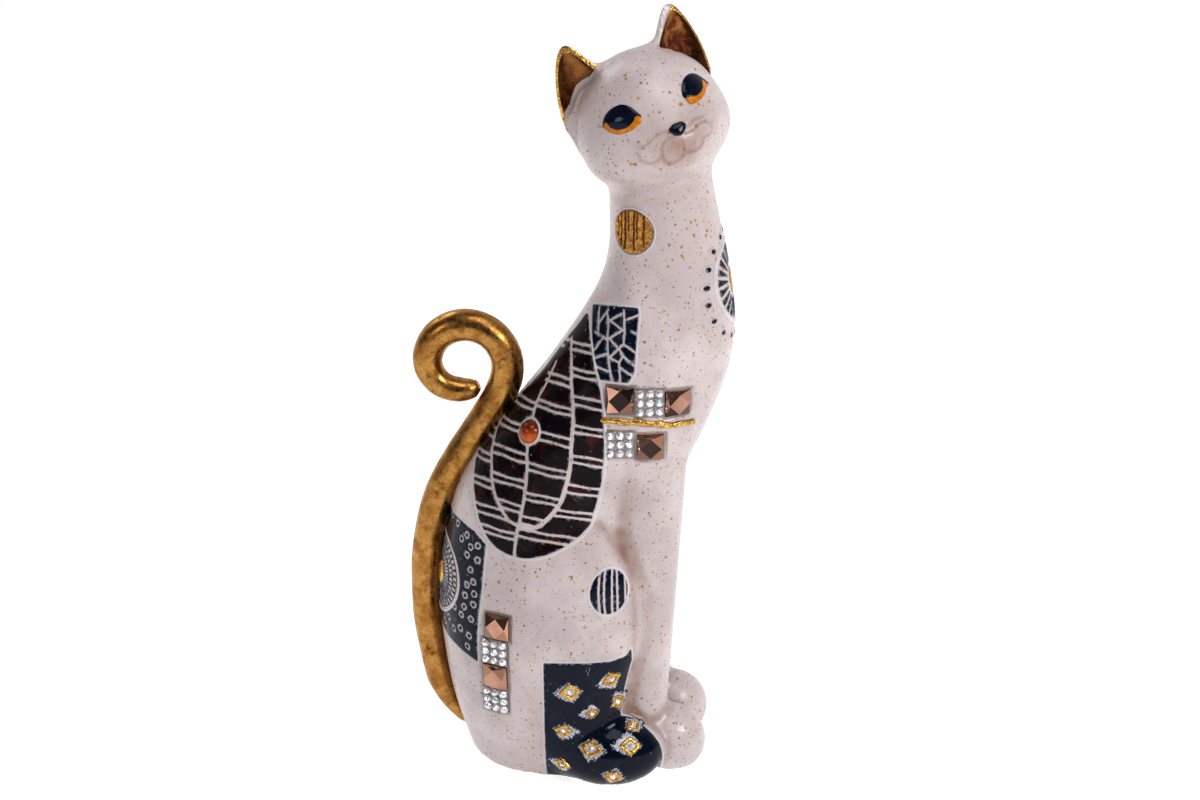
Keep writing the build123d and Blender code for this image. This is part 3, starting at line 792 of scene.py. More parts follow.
def foil_crystal(name):
    g = Graph(name, Metallic=0.55, Coat_Weight=1.0, Coat_Roughness=0.01)
    foil = g.ramp(g.noise(1.3, 3, 0.6, seed=63), 0.3, 0.7)
    return g.done(g.mix(foil, (0.66, 0.68, 0.74), (0.95, 0.95, 0.97)),
                  g.ramp(g.noise(1, 2, 0.5, seed=64), 0.4, 0.7, 0.03, 0.12))


def amber(name):
    """Clear deep amber, lit from inside along its lower edge."""
    g = Graph(name, Coat_Weight=0.15, Coat_Roughness=0.02, IOR=1.42, Specular_IOR_Level=0.35)
    height = g.node("ShaderNodeSeparateXYZ")
    g.put(height.inputs[0], g.place)
    low = CABOCHON_PLACE[2] * MM
    rising = g.ramp(height.outputs[2], low + 3.2 * MM, low - 3.6 * MM)
    glow = g.math("ADD", rising, g.ramp(g.noise(2.6, 3, 0.5, seed=65), 0.3, 0.7, -0.2, 0.2), clamp=True)
    return g.done(g.mix(glow, (0.15, 0.018, 0.002), (0.60, 0.125, 0.010)),
                  g.ramp(g.noise(2, 2, 0.5, seed=66), 0.4, 0.7, 0.05, 0.12))


def net_plastic(name):
    """Silvery glue bed between the crystals, with small beads."""
    g = Graph(name, Metallic=0.35, Coat_Weight=0.4)
    beads = g.node("ShaderNodeTexVoronoi")
    g.put(beads.inputs["Vector"], g.place)
    beads.inputs["Scale"].default_value = 1 / (0.9 * MM)
    between = g.ramp(beads.outputs["Distance"], 0.2, 0.6)
    return g.done(g.mix(between, (0.46, 0.41, 0.40), (0.26, 0.21, 0.20)),
                  g.ramp(g.noise(1.2, 2, 0.5, seed=67), 0.3, 0.7, 0.25, 0.45),
                  g.bump(beads.outputs["Distance"], -0.25, 0.8))


def plain_fibre(name, first, second, size, rough, fuzz):
    """Board, felt or rubber under the base."""
    g = Graph(name)
    fibres = g.noise(size, 6, 0.75, seed=71, warp=1.5)
    return g.done(g.mix(g.ramp(fibres, 0.3, 0.7), first, second),
                  g.ramp(fibres, 0.3, 0.7, rough - 0.08, rough),
                  g.bump(fibres, fuzz, 0.9))


CREAM = speckled_cast("cream_cast", (0.66, 0.575, 0.575), (0.54, 0.46, 0.46))
PALE = speckled_cast("pale_relief", (0.70, 0.655, 0.675), (0.56, 0.515, 0.54), spots=False)
TRAY = speckled_cast("tray_floor", (0.40, 0.335, 0.315), (0.26, 0.205, 0.19), spots=False)
NAVY = enamel("navy_enamel_coat", (0.0016, 0.0055, 0.018), (0.004, 0.014, 0.038), 0.25)
BROWN = enamel("brown_enamel_coat", (0.0062, 0.0032, 0.0050), (0.085, 0.013, 0.006), 0.18, 0.3, 0.2)
SMEAR = smeared_enamel("wiped_enamel")
LEAF_GOLD = gilding("leaf_gold", (0.86, 0.58, 0.20), (0.62, 0.35, 0.08), (0.18, 0.07, 0.012), 0.25, 2.2)
TAIL_GOLD = gilding("tail_gold", (0.50, 0.275, 0.085), (0.33, 0.15, 0.034), (0.085, 0.025, 0.006), 0.50, 6,
                    rough=(0.2, 0.42), hammered=0.05, warp=0.25)
DISC_GOLD = gilding("disc_gold", (0.58, 0.33, 0.10), (0.36, 0.17, 0.045), (0.13, 0.045, 0.010), 0.35, 2.4)
DISC_DARK = gilding("disc_groove", (0.20, 0.07, 0.02), (0.12, 0.035, 0.010), (0.05, 0.015, 0.004), 0.4, 3.0)
EAR_METAL = ear_metal("ear_metal")
ORANGE = paint("eye_orange_paint", (0.62, 0.23, 0.010), (0.45, 0.14, 0.008), 1.6)
BLACK = paint("eye_black_paint", (0.0012, 0.0035, 0.014), (0.003, 0.007, 0.024), 2.5, 0.05)
STONE = mirror_stone("copper_stone")
CRYSTAL = foil_crystal("foil_crystal")
AMBER = amber("amber_cabochon")
NET = net_plastic("crystal_bed")
BOARD = plain_fibre("board_plate", (0.46, 0.34, 0.21), (0.33, 0.23, 0.14), 0.8, 0.85, 0.12)
FELT = plain_fibre("green_felt", (0.030, 0.085, 0.055), (0.055, 0.14, 0.09), 0.35, 0.97, 0.35)
RUBBER = plain_fibre("pale_rubber", (0.62, 0.60, 0.57), (0.52, 0.50, 0.47), 2.5, 0.6, 0.05)
STEEL = plain_fibre("dowel_steel", (0.42, 0.42, 0.44), (0.55, 0.55, 0.57), 0.6, 0.35, 0.03)


# ---------------------------------------------------------------- places on the body
TRAY_FRAMES = [surface_frame(place) for place in [*STONE_PLACES, *NET_PLACES.values()]]
CABOCHON_FRAME = surface_frame(CABOCHON_PLACE)
FACE = chart(in_head((28, 0, -8)), HEAD_AXES[:, 0], HEAD_AXES[:, 2])

# Lines carved in the muzzle, on a chart that faces the head: sideways and up from the mouth
MOUTH_LINES = [
    [(-1.6, 3.2), (-4.8, 4.0), (-7.7, 3.2), (-10, 2.1), (-13, 2.2)],
    [(-14, 0.4), (-13.4, -2.4), (-11.6, -4.3), (-9, -4.6), (-6.6, -3.2)],
    [(-0.8, 1.6), (-4.1, 1.2), (-6.0, -0.6), (-6.9, -3.6), (-5.8, -6.6), (-3.2, -7.3), (-0.6, -6.4),
    (0.8, -4.2), (0.9, -1.2)],
    [(3.6, 2.2), (6.2, 3.0), (8.3, 3.7), (12.2, 3.5)],
    [(3.4, 0.8), (7.4, 0.9), (10.1, 1.9), (12.8, 1.2), (14.1, -1.4), (12.3, -3.1), (9.6, -3.1), (8, -5.0),
    (5.4, -6.2), (1, -5.4)],
]
MOUTH_CURVES = [smooth(line, False) for line in MOUTH_LINES]
MOUTH_DEPTH, MOUTH_WIDTH = 0.24, 0.42
# Valley between haunch and front leg: a carved groove, with painted brown shade along it
VALLEY_LINE = [(15.3, -28.8, 111.3), (19.3, -27.5, 105.4), (23.1, -26.9, 99.7), (26.3, -27.9, 93.1),
               (28.1, -29.4, 86.3), (29.2, -30.6, 78.3), (29.3, -31.2, 68.2), (29, -30.1, 58.2),
               (28.4, -26.9, 48.3)]
VALLEY_DEPTH, VALLEY_WIDTH, VALLEY_SHADE = 0.55, 1.0, 2.2


def folded(points):
    """Every point on the -Y side, for what is the same on both sides."""
    out = points.copy()
    out[:, 1] = -np.abs(out[:, 1])
    return out


def tray_edge(points):
    """Signed distance across the body to the outline of the sunk trays, for points near the surface."""
    near = folded(points)
    best = np.full(len(points), 50.0)
    for origin, level, rising, outward in TRAY_FRAMES:
        offset = near - origin
        a, b = np.abs(offset @ level) - TRAY_HALF, np.abs(offset @ rising) - TRAY_HALF
        square = np.hypot(np.maximum(a, 0), np.maximum(b, 0)) + np.minimum(np.maximum(a, b), 0)
        square = np.where(np.abs(offset @ outward) < 7, square, 50)
        best = np.minimum(best, square)
    return best


def mouth_reach(points):
    """Distance to the nearest carved line of the muzzle."""
    best = np.full(len(points), 50.0)
    offset = points - FACE[0]
    near = (np.linalg.norm(offset, axis=1) < 26) & (offset @ FACE[3] > -12)
    if near.any():
        a, b = offset[near] @ FACE[1], offset[near] @ FACE[2]
        best[near] = np.min([line_distance(a, b, line) for line in MOUTH_CURVES], axis=0)
    return best


def valley_reach(points):
    """Distance to the valley between haunch and front leg."""
    near = folded(points)
    best = np.full(len(points), 50.0)
    line = np.array(VALLEY_LINE, float)
    for start, end in zip(line[:-1], line[1:]):
        best = np.minimum(best, taper_distance(near, start, end, 0, 0))
    return best


def tray_sink(points):
    tray = np.clip(0.5 - tray_edge(points) / TRAY_SLOPE, 0, 1)
    return TRAY_DEPTH * tray * tray * (3 - 2 * tray)


def carved(points):
    """Depth of trays and carved lines below the plain form."""
    depth = tray_sink(points) + VALLEY_DEPTH * np.exp(-(valley_reach(points) / VALLEY_WIDTH) ** 2)
    return depth + MOUTH_DEPTH * np.exp(-(mouth_reach(points) / MOUTH_WIDTH) ** 2)


def casting_distance(points):
    """The body as cast: ears hollowed in front, sunk trays, carved lines, level foot and base opening."""
    distance = solid_head_distance(points)
    for side in (-1, 1):
        distance = np.maximum(distance, -filled_cup_distance(points, side))
    distance = distance + carved(points)
    distance = np.maximum(distance, GROUND - points[:, 2])
    plug = np.hypot(points[:, 0] - BASE_X, points[:, 1]) - BASE_RADIUS
    return np.maximum(distance, -np.maximum(plug, points[:, 2] - BASE_DEPTH))


def tray_body_distance(points):
    return body_distance(points) + tray_sink(points)


def level_mesh(distance, low, high, step):
    """Quads of the surface where the distance is 0, looked for near the form only."""
    coarse = 4 * step
    axes = [np.arange(l, h + coarse, coarse) for l, h in zip(low, high)]
    grid = np.stack(np.meshgrid(*axes, indexing="ij"), -1)
    rough = distance(grid.reshape(-1, 3)).reshape(grid.shape[:3])
    values = np.kron(rough, np.ones((4, 4, 4))).astype(np.float32)
    near = np.argwhere(np.abs(values) < 3.2 * coarse)
    points = np.array(low) + near * step
    exact = np.concatenate([distance(part) for part in np.array_split(points, max(len(points) // 200000, 1))])
    values[tuple(near.T)] = exact
    field = openvdb.FloatGrid(float(values.max()))
    field.copyFromArray(values)
    spots, quads = field.convertToQuads(isovalue=0.0)
    return np.array(low) + np.array(spots) * step, np.array(quads)


def settle(distance, points, rounds=3):
    """Moves points onto the surface."""
    for _ in range(rounds):
        slope = gradient(distance, points, 0.2)
        steep = (slope ** 2).sum(1)
        move = (distance(points) / np.maximum(steep, 0.2))[:, None] * slope
        points = points - np.clip(move, -0.6, 0.6)
    return points


def refine(thing, wanted):
    """Splits the faces whose middles satisfy wanted(points in mm)."""
    mesh = bmesh.new()
    mesh.from_mesh(thing.data)
    middles = np.array([f.calc_center_median() for f in mesh.faces]) / MM
    chosen = wanted(middles)
    edges = {e for f, yes in zip(mesh.faces, chosen) if yes for e in f.edges}
    bmesh.ops.subdivide_edges(mesh, edges=list(edges), cuts=1, use_grid_fill=True)
    mesh.to_mesh(thing.data)
    mesh.free()


# Box round the body, grid steps, and where the mesh is split finer: distance from tray edges, mouth
# lines (twice), the valley and the ear hollows
BODY_LOW, BODY_HIGH = (-60, -47, GROUND - 2), (72, 47, 304)
CELL, QUICK_CELL = 1.12, 1.6
FINE_TRAY, FINE_MOUTH, FINER_MOUTH, FINE_VALLEY, FINE_CUP = 1.3, 1.6, 0.95, 2.2, 1.2
CREASE_DEGREES = 50
# Brown tint of the glaze (staining on the muzzle and in its lines, painted shade elsewhere): share and reach
# in hollows, on the muzzle, in its lines, at the ear roots and in the valley
HOLLOW_REACH, HOLLOW_BEND = 3.0, 1.8
MUZZLE_STAIN, ROOT_SHADE = ((27, 0, -10), 95), ((3, 19, 14), 70)
LINE_STAIN = 0.7
STAIN_AND_SHADE_SHARES, MOST_STAIN_AND_SHADE = (0.95, 0.85, 0.3, 0.4, 0.45), 0.9


def tint_spot(points, place, spread):
    return np.exp(-((points - in_head(place)) ** 2).sum(1) / spread)


def stain_and_shade(points):
    """How brown the glaze is at each point of the body: staining on the muzzle and in its lines, painted
    shade in hollows, at the ear roots and in the valley.
    """
    # bend and hollow: painted shade where the form curves inward
    bend = sum(body_distance(points + o) + body_distance(points - o) for o in np.eye(3) * HOLLOW_REACH)
    hollow = np.clip(-(bend - 6 * body_distance(points)) / HOLLOW_BEND, 0, 1)
    muzzle = tint_spot(points, *MUZZLE_STAIN)
    line = np.exp(-(mouth_reach(points) / LINE_STAIN) ** 2)
    # ear roots and valley: painted shade in the folds there
    roots = sum(tint_spot(points, mirrored(ROOT_SHADE[0], side), ROOT_SHADE[1]) for side in (-1, 1))
    valley = np.exp(-(valley_reach(points) / VALLEY_SHADE) ** 2)
    parts = (hollow, muzzle, line, roots, valley)
    return np.clip(sum(share * part for share, part in zip(STAIN_AND_SHADE_SHARES, parts)), 0, MOST_STAIN_AND_SHADE)


def body_casting():
    step = CELL
    points, quads = level_mesh(casting_distance, BODY_LOW, BODY_HIGH, step)
    corners = points[quads[::997]]
    outward = np.cross(corners[:, 2] - corners[:, 0], corners[:, 3] - corners[:, 1])
    if (gradient(casting_distance, corners.mean(1)) * outward).sum() < 0:
        quads = quads[:, ::-1]
    thing = piece("body_shell", (points, quads.tolist(), {}), CREAM, "cast_body")
    refine(thing, lambda p: (np.abs(tray_edge(p)) < FINE_TRAY) | (mouth_reach(p) < FINE_MOUTH))
    refine(thing, lambda p: (mouth_reach(p) < FINER_MOUTH) | (valley_reach(p) < FINE_VALLEY))
    refine(thing, lambda p: np.minimum(cup_distance(p, -1), cup_distance(p, 1)) < FINE_CUP)
    mesh = thing.data
    points = settle(casting_distance, np.array([v.co for v in mesh.vertices]) / MM)
    mesh.vertices.foreach_set("co", (points * MM).ravel())
    # Brown tint per vertex: staining on the muzzle, painted shade in hollows, in the valley and at the ear
    # roots
    layer = mesh.attributes.new("brown_stain_and_shade", "FLOAT", "POINT")
    layer.data.foreach_set("value", stain_and_shade(points).astype(np.float32))
    mesh.polygons.foreach_set("use_smooth", [True] * len(mesh.polygons))
    mesh.update()
    mesh.set_sharp_from_angle(angle=math.radians(CREASE_DEGREES))
    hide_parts("body_casting")


# Tail tube: share of its length with close rings at each end, rings between, sides, and how far its leaf
# lies inside the nominal radius
TAIL_END, TAIL_RINGS, TAIL_SIDES, LEAF_INSET = 0.02, 380, 56, 0.15


def tail_casting():
    """The tail as a finely ringed tube on its centre line, a little uneven as if beaten."""
    line = np.array(TAIL_LINE, float)
    run = np.concatenate([[0], np.cumsum(np.linalg.norm(np.diff(line, axis=0), axis=1))])
    rows = np.column_stack([run, line])
    line_x, line_z = row_spline(rows, 1), row_spline(rows, 2)
    share = np.concatenate([
        np.linspace(0, TAIL_END, 6)[:-1], np.linspace(TAIL_END, 1 - TAIL_END, TAIL_RINGS)[:-1],
        np.linspace(1 - TAIL_END, 1, 8)])
    at = share * run[-1]
    centre = np.stack([line_x(at), np.zeros(len(at)), line_z(at)], 1)
    run_x, run_z = (line(at + 0.5) - line(at - 0.5) for line in (line_x, line_z))
    along = np.stack([run_x, np.zeros(len(at)), run_z], 1)
    along /= np.linalg.norm(along, axis=1, keepdims=True)
    side = np.array([0.0, 1.0, 0.0])
    across = np.cross(side, along)
    radius = np.interp(share, [row[0] for row in TAIL_RADII], [row[1] for row in TAIL_RADII])
    a, t = np.meshgrid(at, np.linspace(0, 2 * np.pi, TAIL_SIDES, endpoint=False), indexing="ij")
    uneven = 0.07 * np.sin(0.22 * a + 2 * t) + 0.03 * np.sin(0.6 * a - 3 * t + 1)
    reach = radius[:, None] - LEAF_INSET + uneven * np.clip(radius[:, None] / 5, 0, 1)
    round_way = np.cos(t)[..., None] * side + np.sin(t)[..., None] * across[:, None]
    points = centre[:, None] + reach[..., None] * round_way
    points[..., 2] = np.maximum(points[..., 2], GROUND)
    rings, count = a.shape
    index = np.arange(rings * count).reshape(rings, count)
    nxt = np.roll(index, -1, axis=1)
    faces = np.stack([index[:-1], index[1:], nxt[1:], nxt[:-1]], -1).reshape(-1, 4).tolist()
    faces += [index[0].tolist(), index[-1][::-1].tolist()]
    thing = piece("tail_leafed", (points.reshape(-1, 3), faces, {}), TAIL_GOLD, "gilt")
    mesh = bmesh.new()
    mesh.from_mesh(thing.data)
    bmesh.ops.recalc_face_normals(mesh, faces=mesh.faces)
    mesh.to_mesh(thing.data)
    mesh.free()
    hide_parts("tail_casting")


# ---------------------------------------------------------------- enamel patches
LEAF_CHART = chart((0, 0, 0), (-0.4, -0.85, 0.3))
LEAF_OUTLINE = smooth([
    (12.3, 178), (16.5, 172), (21.6, 160.6), (25.8, 150.2), (27.8, 141), (28.4, 127.2), (27.4, 117.5),
    (25.4, 106.4), (22.4, 96.8), (16.9, 89.8), (8.4, 84), (-2, 82.3), (-10.5, 85.3), (-16.9, 92),
    (-21.9, 102.3),
    (-24.6, 109), (-27.6, 118.9), (-26.8, 125.5), (-24, 132), (-17.9, 140), (-10.5, 147.4), (-4.2, 154.8),
    (1.5, 163.8), (7.8, 172)], True)
LEAF_COLLAR = smooth([
    (7.4, 167.5), (10, 162), (12.4, 155), (16, 143.2), (17.3, 128.5), (16.3, 114.2), (13.2, 104.2),
    (8.2, 96.8),
    (3, 94.3), (-3.5, 95.5), (-8.3, 99.6), (-12.7, 105.8), (-15.9, 114.4), (-18.4, 121.1), (-19.9, 128),
    (-19.3, 134.5),
    (-15.5, 142)], False)
LEAF_VEINS = [
    smooth([(-1.0, 127), (0.4, 119), (0.9, 111), (0.9, 103.7), (-0.5, 94), (-1.2, 81)], False),
    smooth([(-1.3, 134), (-1.1, 143.9), (0.6, 149.5), (2.4, 158)], False),
]
STRIPE_GAP, STRIPE_HALF = 2.7, 0.5
COLLAR_STRIPES = [166.7, 157.3, 147.4, 136.8, 125.4, 114.0, 103.6, 93.4]
MIDDLE_STRIPES = [153.6, 142.9, 131.9, 119.2, 108.0, 98.6]
LEFT_STRIPES = [141.4, 131.8, 122.0, 111.8, 102.4]
OUTER_STRIPES = [147.6, 137.6, 126.8, 117.6, 108.2, 98.6, 91.0]
CABOCHON_SEAT, COLLAR_INSIDE = 5.5, 4.45


def stripes(b, places, half=STRIPE_HALF):
    """Distance beyond pairs of level lines, less than 0 on a line."""
    best = np.full(b.shape, 50.0)
    for k, place in enumerate(places):
        gap = STRIPE_GAP + 0.35 * math.sin(2.3 * k + places[0])
        best = np.minimum(best, np.minimum(np.abs(b - place), np.abs(b - place + gap)) - half)
    return best


def leaf_pattern(a, b, points):
    a, b = ripple(a, b, 12, 0.13, 0.7)
    value = loop_distance(a, b, LEAF_OUTLINE)
    value = cut(value, line_distance(a, b, LEAF_COLLAR), 0.72)
    for vein in LEAF_VEINS:
        value = cut(value, line_distance(a, b, vein), 0.62)
    inside = loop_distance(a, b, LEAF_COLLAR) < 0
    vein_at = np.interp(b, LEAF_VEINS[0][::-1, 1], LEAF_VEINS[0][::-1, 0])
    right = a > vein_at
    slope = b + 0.035 * a
    lines = np.where(
        inside, np.where(right, stripes(slope, MIDDLE_STRIPES), stripes(slope, LEFT_STRIPES)),
        np.where(right, stripes(b, COLLAR_STRIPES), stripes(slope, OUTER_STRIPES)))
    value = np.maximum(value, -lines)
    seat = flat(LEAF_CHART, CABOCHON_FRAME[0])[0]
    return cut(value, np.hypot(a - seat[0], b - seat[1]), CABOCHON_SEAT)


CRACKLE_CHART = chart((0, 0, 0), (-0.25, -0.9, 0.35))
CRACKLE_OUTLINE = np.array([(13.6, 177.6), (16.6, 165), (20.1, 154.7), (22, 150.4), (32.6, 150.6),
                            (34.5, 154.8),
                            (34.4, 176), (34, 178), (24.6, 177.9)], float)
CRACKS = [
    [(21.9, 176.2), (18.7, 171.3)], [(21.5, 175.2), (22.6, 172.3), (23.2, 165.5), (24, 160.7),
    (25.5, 154.4), (26.8, 150.6)],
    [(27.7, 175.2), (23.9, 172.9)], [(28.6, 176.7), (29.7, 169.4), (29.8, 164.5)], [(22.6, 172.8),
    (28.9, 169.4)],
    [(28.9, 169.4), (24.2, 166.1)], [(17.8, 167.5), (22.9, 165.5)], [(20.8, 165.3), (18.5, 161.2)],
    [(23.9, 166), (28.7, 162), (30, 160.1)], [(29.8, 164.5), (25.2, 159.3)], [(29.8, 164.5), (34.7, 161.9)],
    [(19.4, 158.3), (24, 160.4)], [(25.3, 158.8), (28.7, 157.6), (29.8, 150.3)], [(30, 160.1), (28.7, 157.6)],
    [(30, 160.1), (34.7, 157)], [(20.3, 155), (24.8, 153.9)], [(29.4, 155.7), (34.6, 153.1)],
    [(30.1, 173.4), (34.7, 175.7)], [(32.8, 169.2), (34.9, 168.8)], [(17.3, 176.8), (18.8, 168.1)],
]
CRACK_HALF = 0.4


def crackle_pattern(a, b, points):
    value = loop_distance(a, b, CRACKLE_OUTLINE)
    for crack in CRACKS:
        value = cut(value, line_distance(a, b, np.array(crack, float)), CRACK_HALF)
    return value


REAR_CHART = chart((0, 0, 0), (-0.78, -0.6, 0.1))
REAR_OUTLINE = np.array([
    (-26, 100.6), (-18, 100.4), (-9.2, 100.2), (-1, 99), (4.9, 95.6), (5.4, 88.7), (6.4, 75.7), (6.3, 69),
    (6.2, 46.4),
    (-4.1, 48.6), (-15.4, 50.4), (-26, 53)], float)
RING_PLACES = [
    (-4.8, 96.1), (-7.6, 93.5), (-1.8, 92.3), (1.6, 94), (-2.9, 88.6), (2.6, 88.4), (0.1, 83.5), (2.2, 79.2),
    (-0.6, 77), (-0.9, 72.4), (3.4, 74.6), (3.6, 70.2), (-0.9, 67.6), (-2.2, 63.6), (3, 63.8), (-6.8, 65.2),
    (-11.2, 58.6), (-2.6, 57.6), (2.2, 56.2), (-7.2, 55.4), (1.2, 51.2), (-15, 55), (-17.8, 99.4),
    (-12, 98.2),
]
RING_RADIUS, RING_HALF = 1.18, 0.29
FAN_CENTRE, FAN_REACH = (-23.8, 74), (18.4, 15.6)
FAN_SECTORS = 38


def fan_share(a, b):
    return np.hypot((a - FAN_CENTRE[0]) / FAN_REACH[0], (b - FAN_CENTRE[1]) / FAN_REACH[1])


def rear_pattern(a, b, points):
    value = loop_distance(a, b, REAR_OUTLINE)
    for ring in RING_PLACES:
        value = cut(value, np.abs(np.hypot(a - ring[0], b - ring[1]) - RING_RADIUS), RING_HALF)
    return cut(value, fan_outline(a, b, points), 0.75)


def fan_outline(a, b, points):
    return (fan_share(a, b) - 1) * FAN_REACH[1]


def fan_pattern(a, b, points):
    """Round ornament: ribs round a gold middle, then two rows of chequers inside the border."""
    share = fan_share(a, b)
    turn = np.arctan2((b - FAN_CENTRE[1]) / FAN_REACH[1], (a - FAN_CENTRE[0]) / FAN_REACH[0])
    width = share * FAN_REACH[1]
    sector = turn / (2 * np.pi) * FAN_SECTORS
    wave = np.abs(sector - np.round(sector)) * 2 * np.pi / FAN_SECTORS * width
    between = np.abs(sector - np.floor(sector) - 0.5) * 2 * np.pi / FAN_SECTORS * width

    def band(low, high):
        return np.maximum(low - share, share - high) * FAN_REACH[1]

    holes = [np.maximum(band(0.36, 0.58), wave - 0.36), np.maximum(band(0.635, 0.755), between - 0.5),
             np.maximum(band(0.80, 0.93), wave - 0.6), band(0.22, 0.31)]
    value = np.maximum(loop_distance(a, b, REAR_OUTLINE), (share - 0.955) * FAN_REACH[1])
    for hole in holes:
        value = np.maximum(value, -hole)
    return value


def fan_gold(a, b, points):
    return (np.hypot((a - FAN_CENTRE[0] - 2.4) / 3.4, (b - FAN_CENTRE[1]) / 4.9) - 1) * 3.4


FOOT_CHART = chart((0, 0, 0), (0.45, -0.8, 0.4))
FOOT_EDGE = np.array([
    (-40, 39.6), (-23.3, 38.6), (-9, 36), (0.8, 34.8), (7.0, 35.6), (9.4, 38.2), (10.6, 33.2),
    (8.3, 21.3), (6.8, 12.6),
    (7.4, 10.4), (11.2, 8.6), (14.4, 5.9), (17.4, 1.8), (20, -3.2), (21.2, -8.2), (22.8, -14.5),
    (16, -32), (-40, -32)],
    float)
FOOT_BACK_X, FOOT_CLEAR = -5, 0.5


def foot_pattern(a, b, points):
    value = loop_distance(a, b, FOOT_EDGE)
    return np.maximum(value, np.maximum(FOOT_BACK_X - points[:, 0], GROUND + FOOT_CLEAR - points[:, 2]))


# Raised lozenges round the foot crystals: half width, half height and turn in degrees
LOZENGES = [(4.6, 3.7, 8), (4.3, 3.6, 20), (3.4, 4.0, 18), (3.0, 2.5, 5), (3.9, 3.1, -8),
            (4.7, 3.7, -4), (4.5, 3.7, -8), (3.6, 3.0, -6), (3.7, 2.7, -6), (3.9, 3.5, -20)]
LOZENGE_HOLE, HALO_WIDTH, LOZENGE_LIFT = 0.44, 1.15, 0.35


def lozenge_share(a, b, size):
    half_width, half_height, turn = size
    t = math.radians(turn)
    x, y = a * math.cos(t) + b * math.sin(t), b * math.cos(t) - a * math.sin(t)
    return (np.abs(x) / half_width) ** 1.15 + (np.abs(y) / half_height) ** 1.15


def lozenge_sheets(kind):
    """Gold frames, their pale middles or the ragged pale halo round them."""
    parts = []
    heights = {"frame": (0.3, 0.75, 0.75), "middle": (0.25, 0.1, 0.5), "halo": (0.24, 0.06, 1.2)}[kind]
    for k, (place, size) in enumerate(zip(FOOT_CRYSTAL_PLACES, LOZENGES)):
        scale = 0.75 * min(size[:2])

        def pattern(a, b, points, k=k, size=size, scale=scale):
            share = lozenge_share(a, b, size)
            ground = GROUND + 0.4 - points[:, 2]
            if kind == "frame":
                return np.maximum(np.maximum(share - 1, LOZENGE_HOLE - share) * scale, ground)
            if kind == "middle":
                return (share - LOZENGE_HOLE - 0.1) * scale
            fray = (0.35 * np.sin(3.1 * a + 1.3 * k) * np.sin(2.7 * b + k)
                    + 0.25 * np.sin(5.3 * a - 4.1 * b + 2 * k))
            lean = 0.22 * (a * math.cos(2.4 * k + 2) + b * math.sin(1.7 * k + 3.5))
            return np.maximum((share - 1) * scale - HALO_WIDTH - fray - lean, ground)

        reach = max(size[:2]) + (3.2 if kind == "halo" else 0.8)
        box = (-reach, -reach), (reach, reach)
        parts.append(sheet(surface_frame(place), *box, 0.22, pattern, body_distance, *heights, skirt=0.3))
    return joined(*parts)


KNEE_CHART = chart((20, -35.5, 86), (0.41, -0.89, 0.21))
KNEE_REACH = (7.6, 8.7)
# Knee lines: place, bow and lean
KNEE_LINES = [(-4, 0.9, 0.075), (-1.9, 0.7, 0.075), (1.3, 0.4, 0.075), (3.5, 0.2, 0.06), (6.9, 0, 0.06)]


def knee_outline(a, b, points):
    tilted = a - 0.075 * b
    return (np.hypot((tilted - 0.35) / KNEE_REACH[0], b / KNEE_REACH[1]) - 1) * KNEE_REACH[0]


def knee_pattern(a, b, points):
    value = knee_outline(a, b, points)
    for place, bow, lean in KNEE_LINES:
        value = cut(value, np.abs(a - lean * b - place - bow * (b / KNEE_REACH[1]) ** 2), 0.42)
    return value


NECK_FRAME = surface_frame((26.2, -16.5, 222))
NECK_REACH = (8.2, 8.1)
# Grooves of the neck disc: place, half width and lower end
NECK_GROOVES = [(-6.1, 0.3, -2), (-4.6, 0.4, -5.4), (-2.7, 0.45, -6.4), (-1.2, 0.18, 1), (1.1, 0.34, -6),
                (2.3, 0.2, -2), (4.9, 0.24, -4)]


def neck_outline(a, b, points):
    return (np.hypot(a / NECK_REACH[0], b / NECK_REACH[1]) - 1) * NECK_REACH[0]


def neck_rim_line(a, b, points):
    return neck_outline(a, b, points) - 0.15


def neck_pattern(a, b, points):
    value = neck_outline(a, b, points)
    for place, half, end in NECK_GROOVES:
        away = np.hypot(a - place - 0.12 * np.sin(b + place), np.minimum(b - end, 0))
        value = cut(value, away, half)
    return value


CHEST_CHART = chart((60, 0, 200), (1, 0, 0.03))
CHEST_REACH = (12.8, 14.6)
CHEST_SECTORS = 22
CHEST_DOT_SIDE = [(-5.7, 17.8), (-11.4, 14), (-14.8, 8.1), (-16.5, 1.7), (-17.1, -4.6), (-16, -11),
                  (-12.4, -16.6), (-6.6, -19.6)]


def chest_share(a, b):
    return np.hypot(a / CHEST_REACH[0], b / CHEST_REACH[1])


def chest_outline(a, b, points):
    return (chest_share(a, b) - 1) * CHEST_REACH[0]


def chest_pattern(a, b, points):
    share = chest_share(a, b)
    turn = np.arctan2(b / CHEST_REACH[1], a / CHEST_REACH[0])
    sector = turn / (2 * np.pi) * CHEST_SECTORS
    away = np.abs(sector - np.round(sector)) * 2 * np.pi / CHEST_SECTORS * share * CHEST_REACH[0]
    value = np.maximum(share - 0.97, 0.47 - share) * CHEST_REACH[0]
    return cut(value, away, 0.56)


def chest_gold(a, b, points):
    return (np.hypot(a / 3.4, b / 5.0) - 1) * 3.4


def chest_dot_places():
    return CHEST_DOT_SIDE + [(-x, y) for x, y in CHEST_DOT_SIDE] + [(0, -20.6), (0, 19)]


def chest_dots(radius_low, radius_high):
    def pattern(a, b, points):
        value = np.full(a.shape, 50.0)
        for x, y in chest_dot_places():
            away = np.hypot(a - x, b - y)
            value = np.minimum(value, np.maximum(away - radius_high, radius_low - away))
        return value
    return pattern


def rim_of(outline_value, width):
    """A raised cord just outside an outline."""
    def pattern(a, b, points):
        return np.abs(outline_value(a, b, points) - width / 2 - 0.05) - width / 2
    return pattern


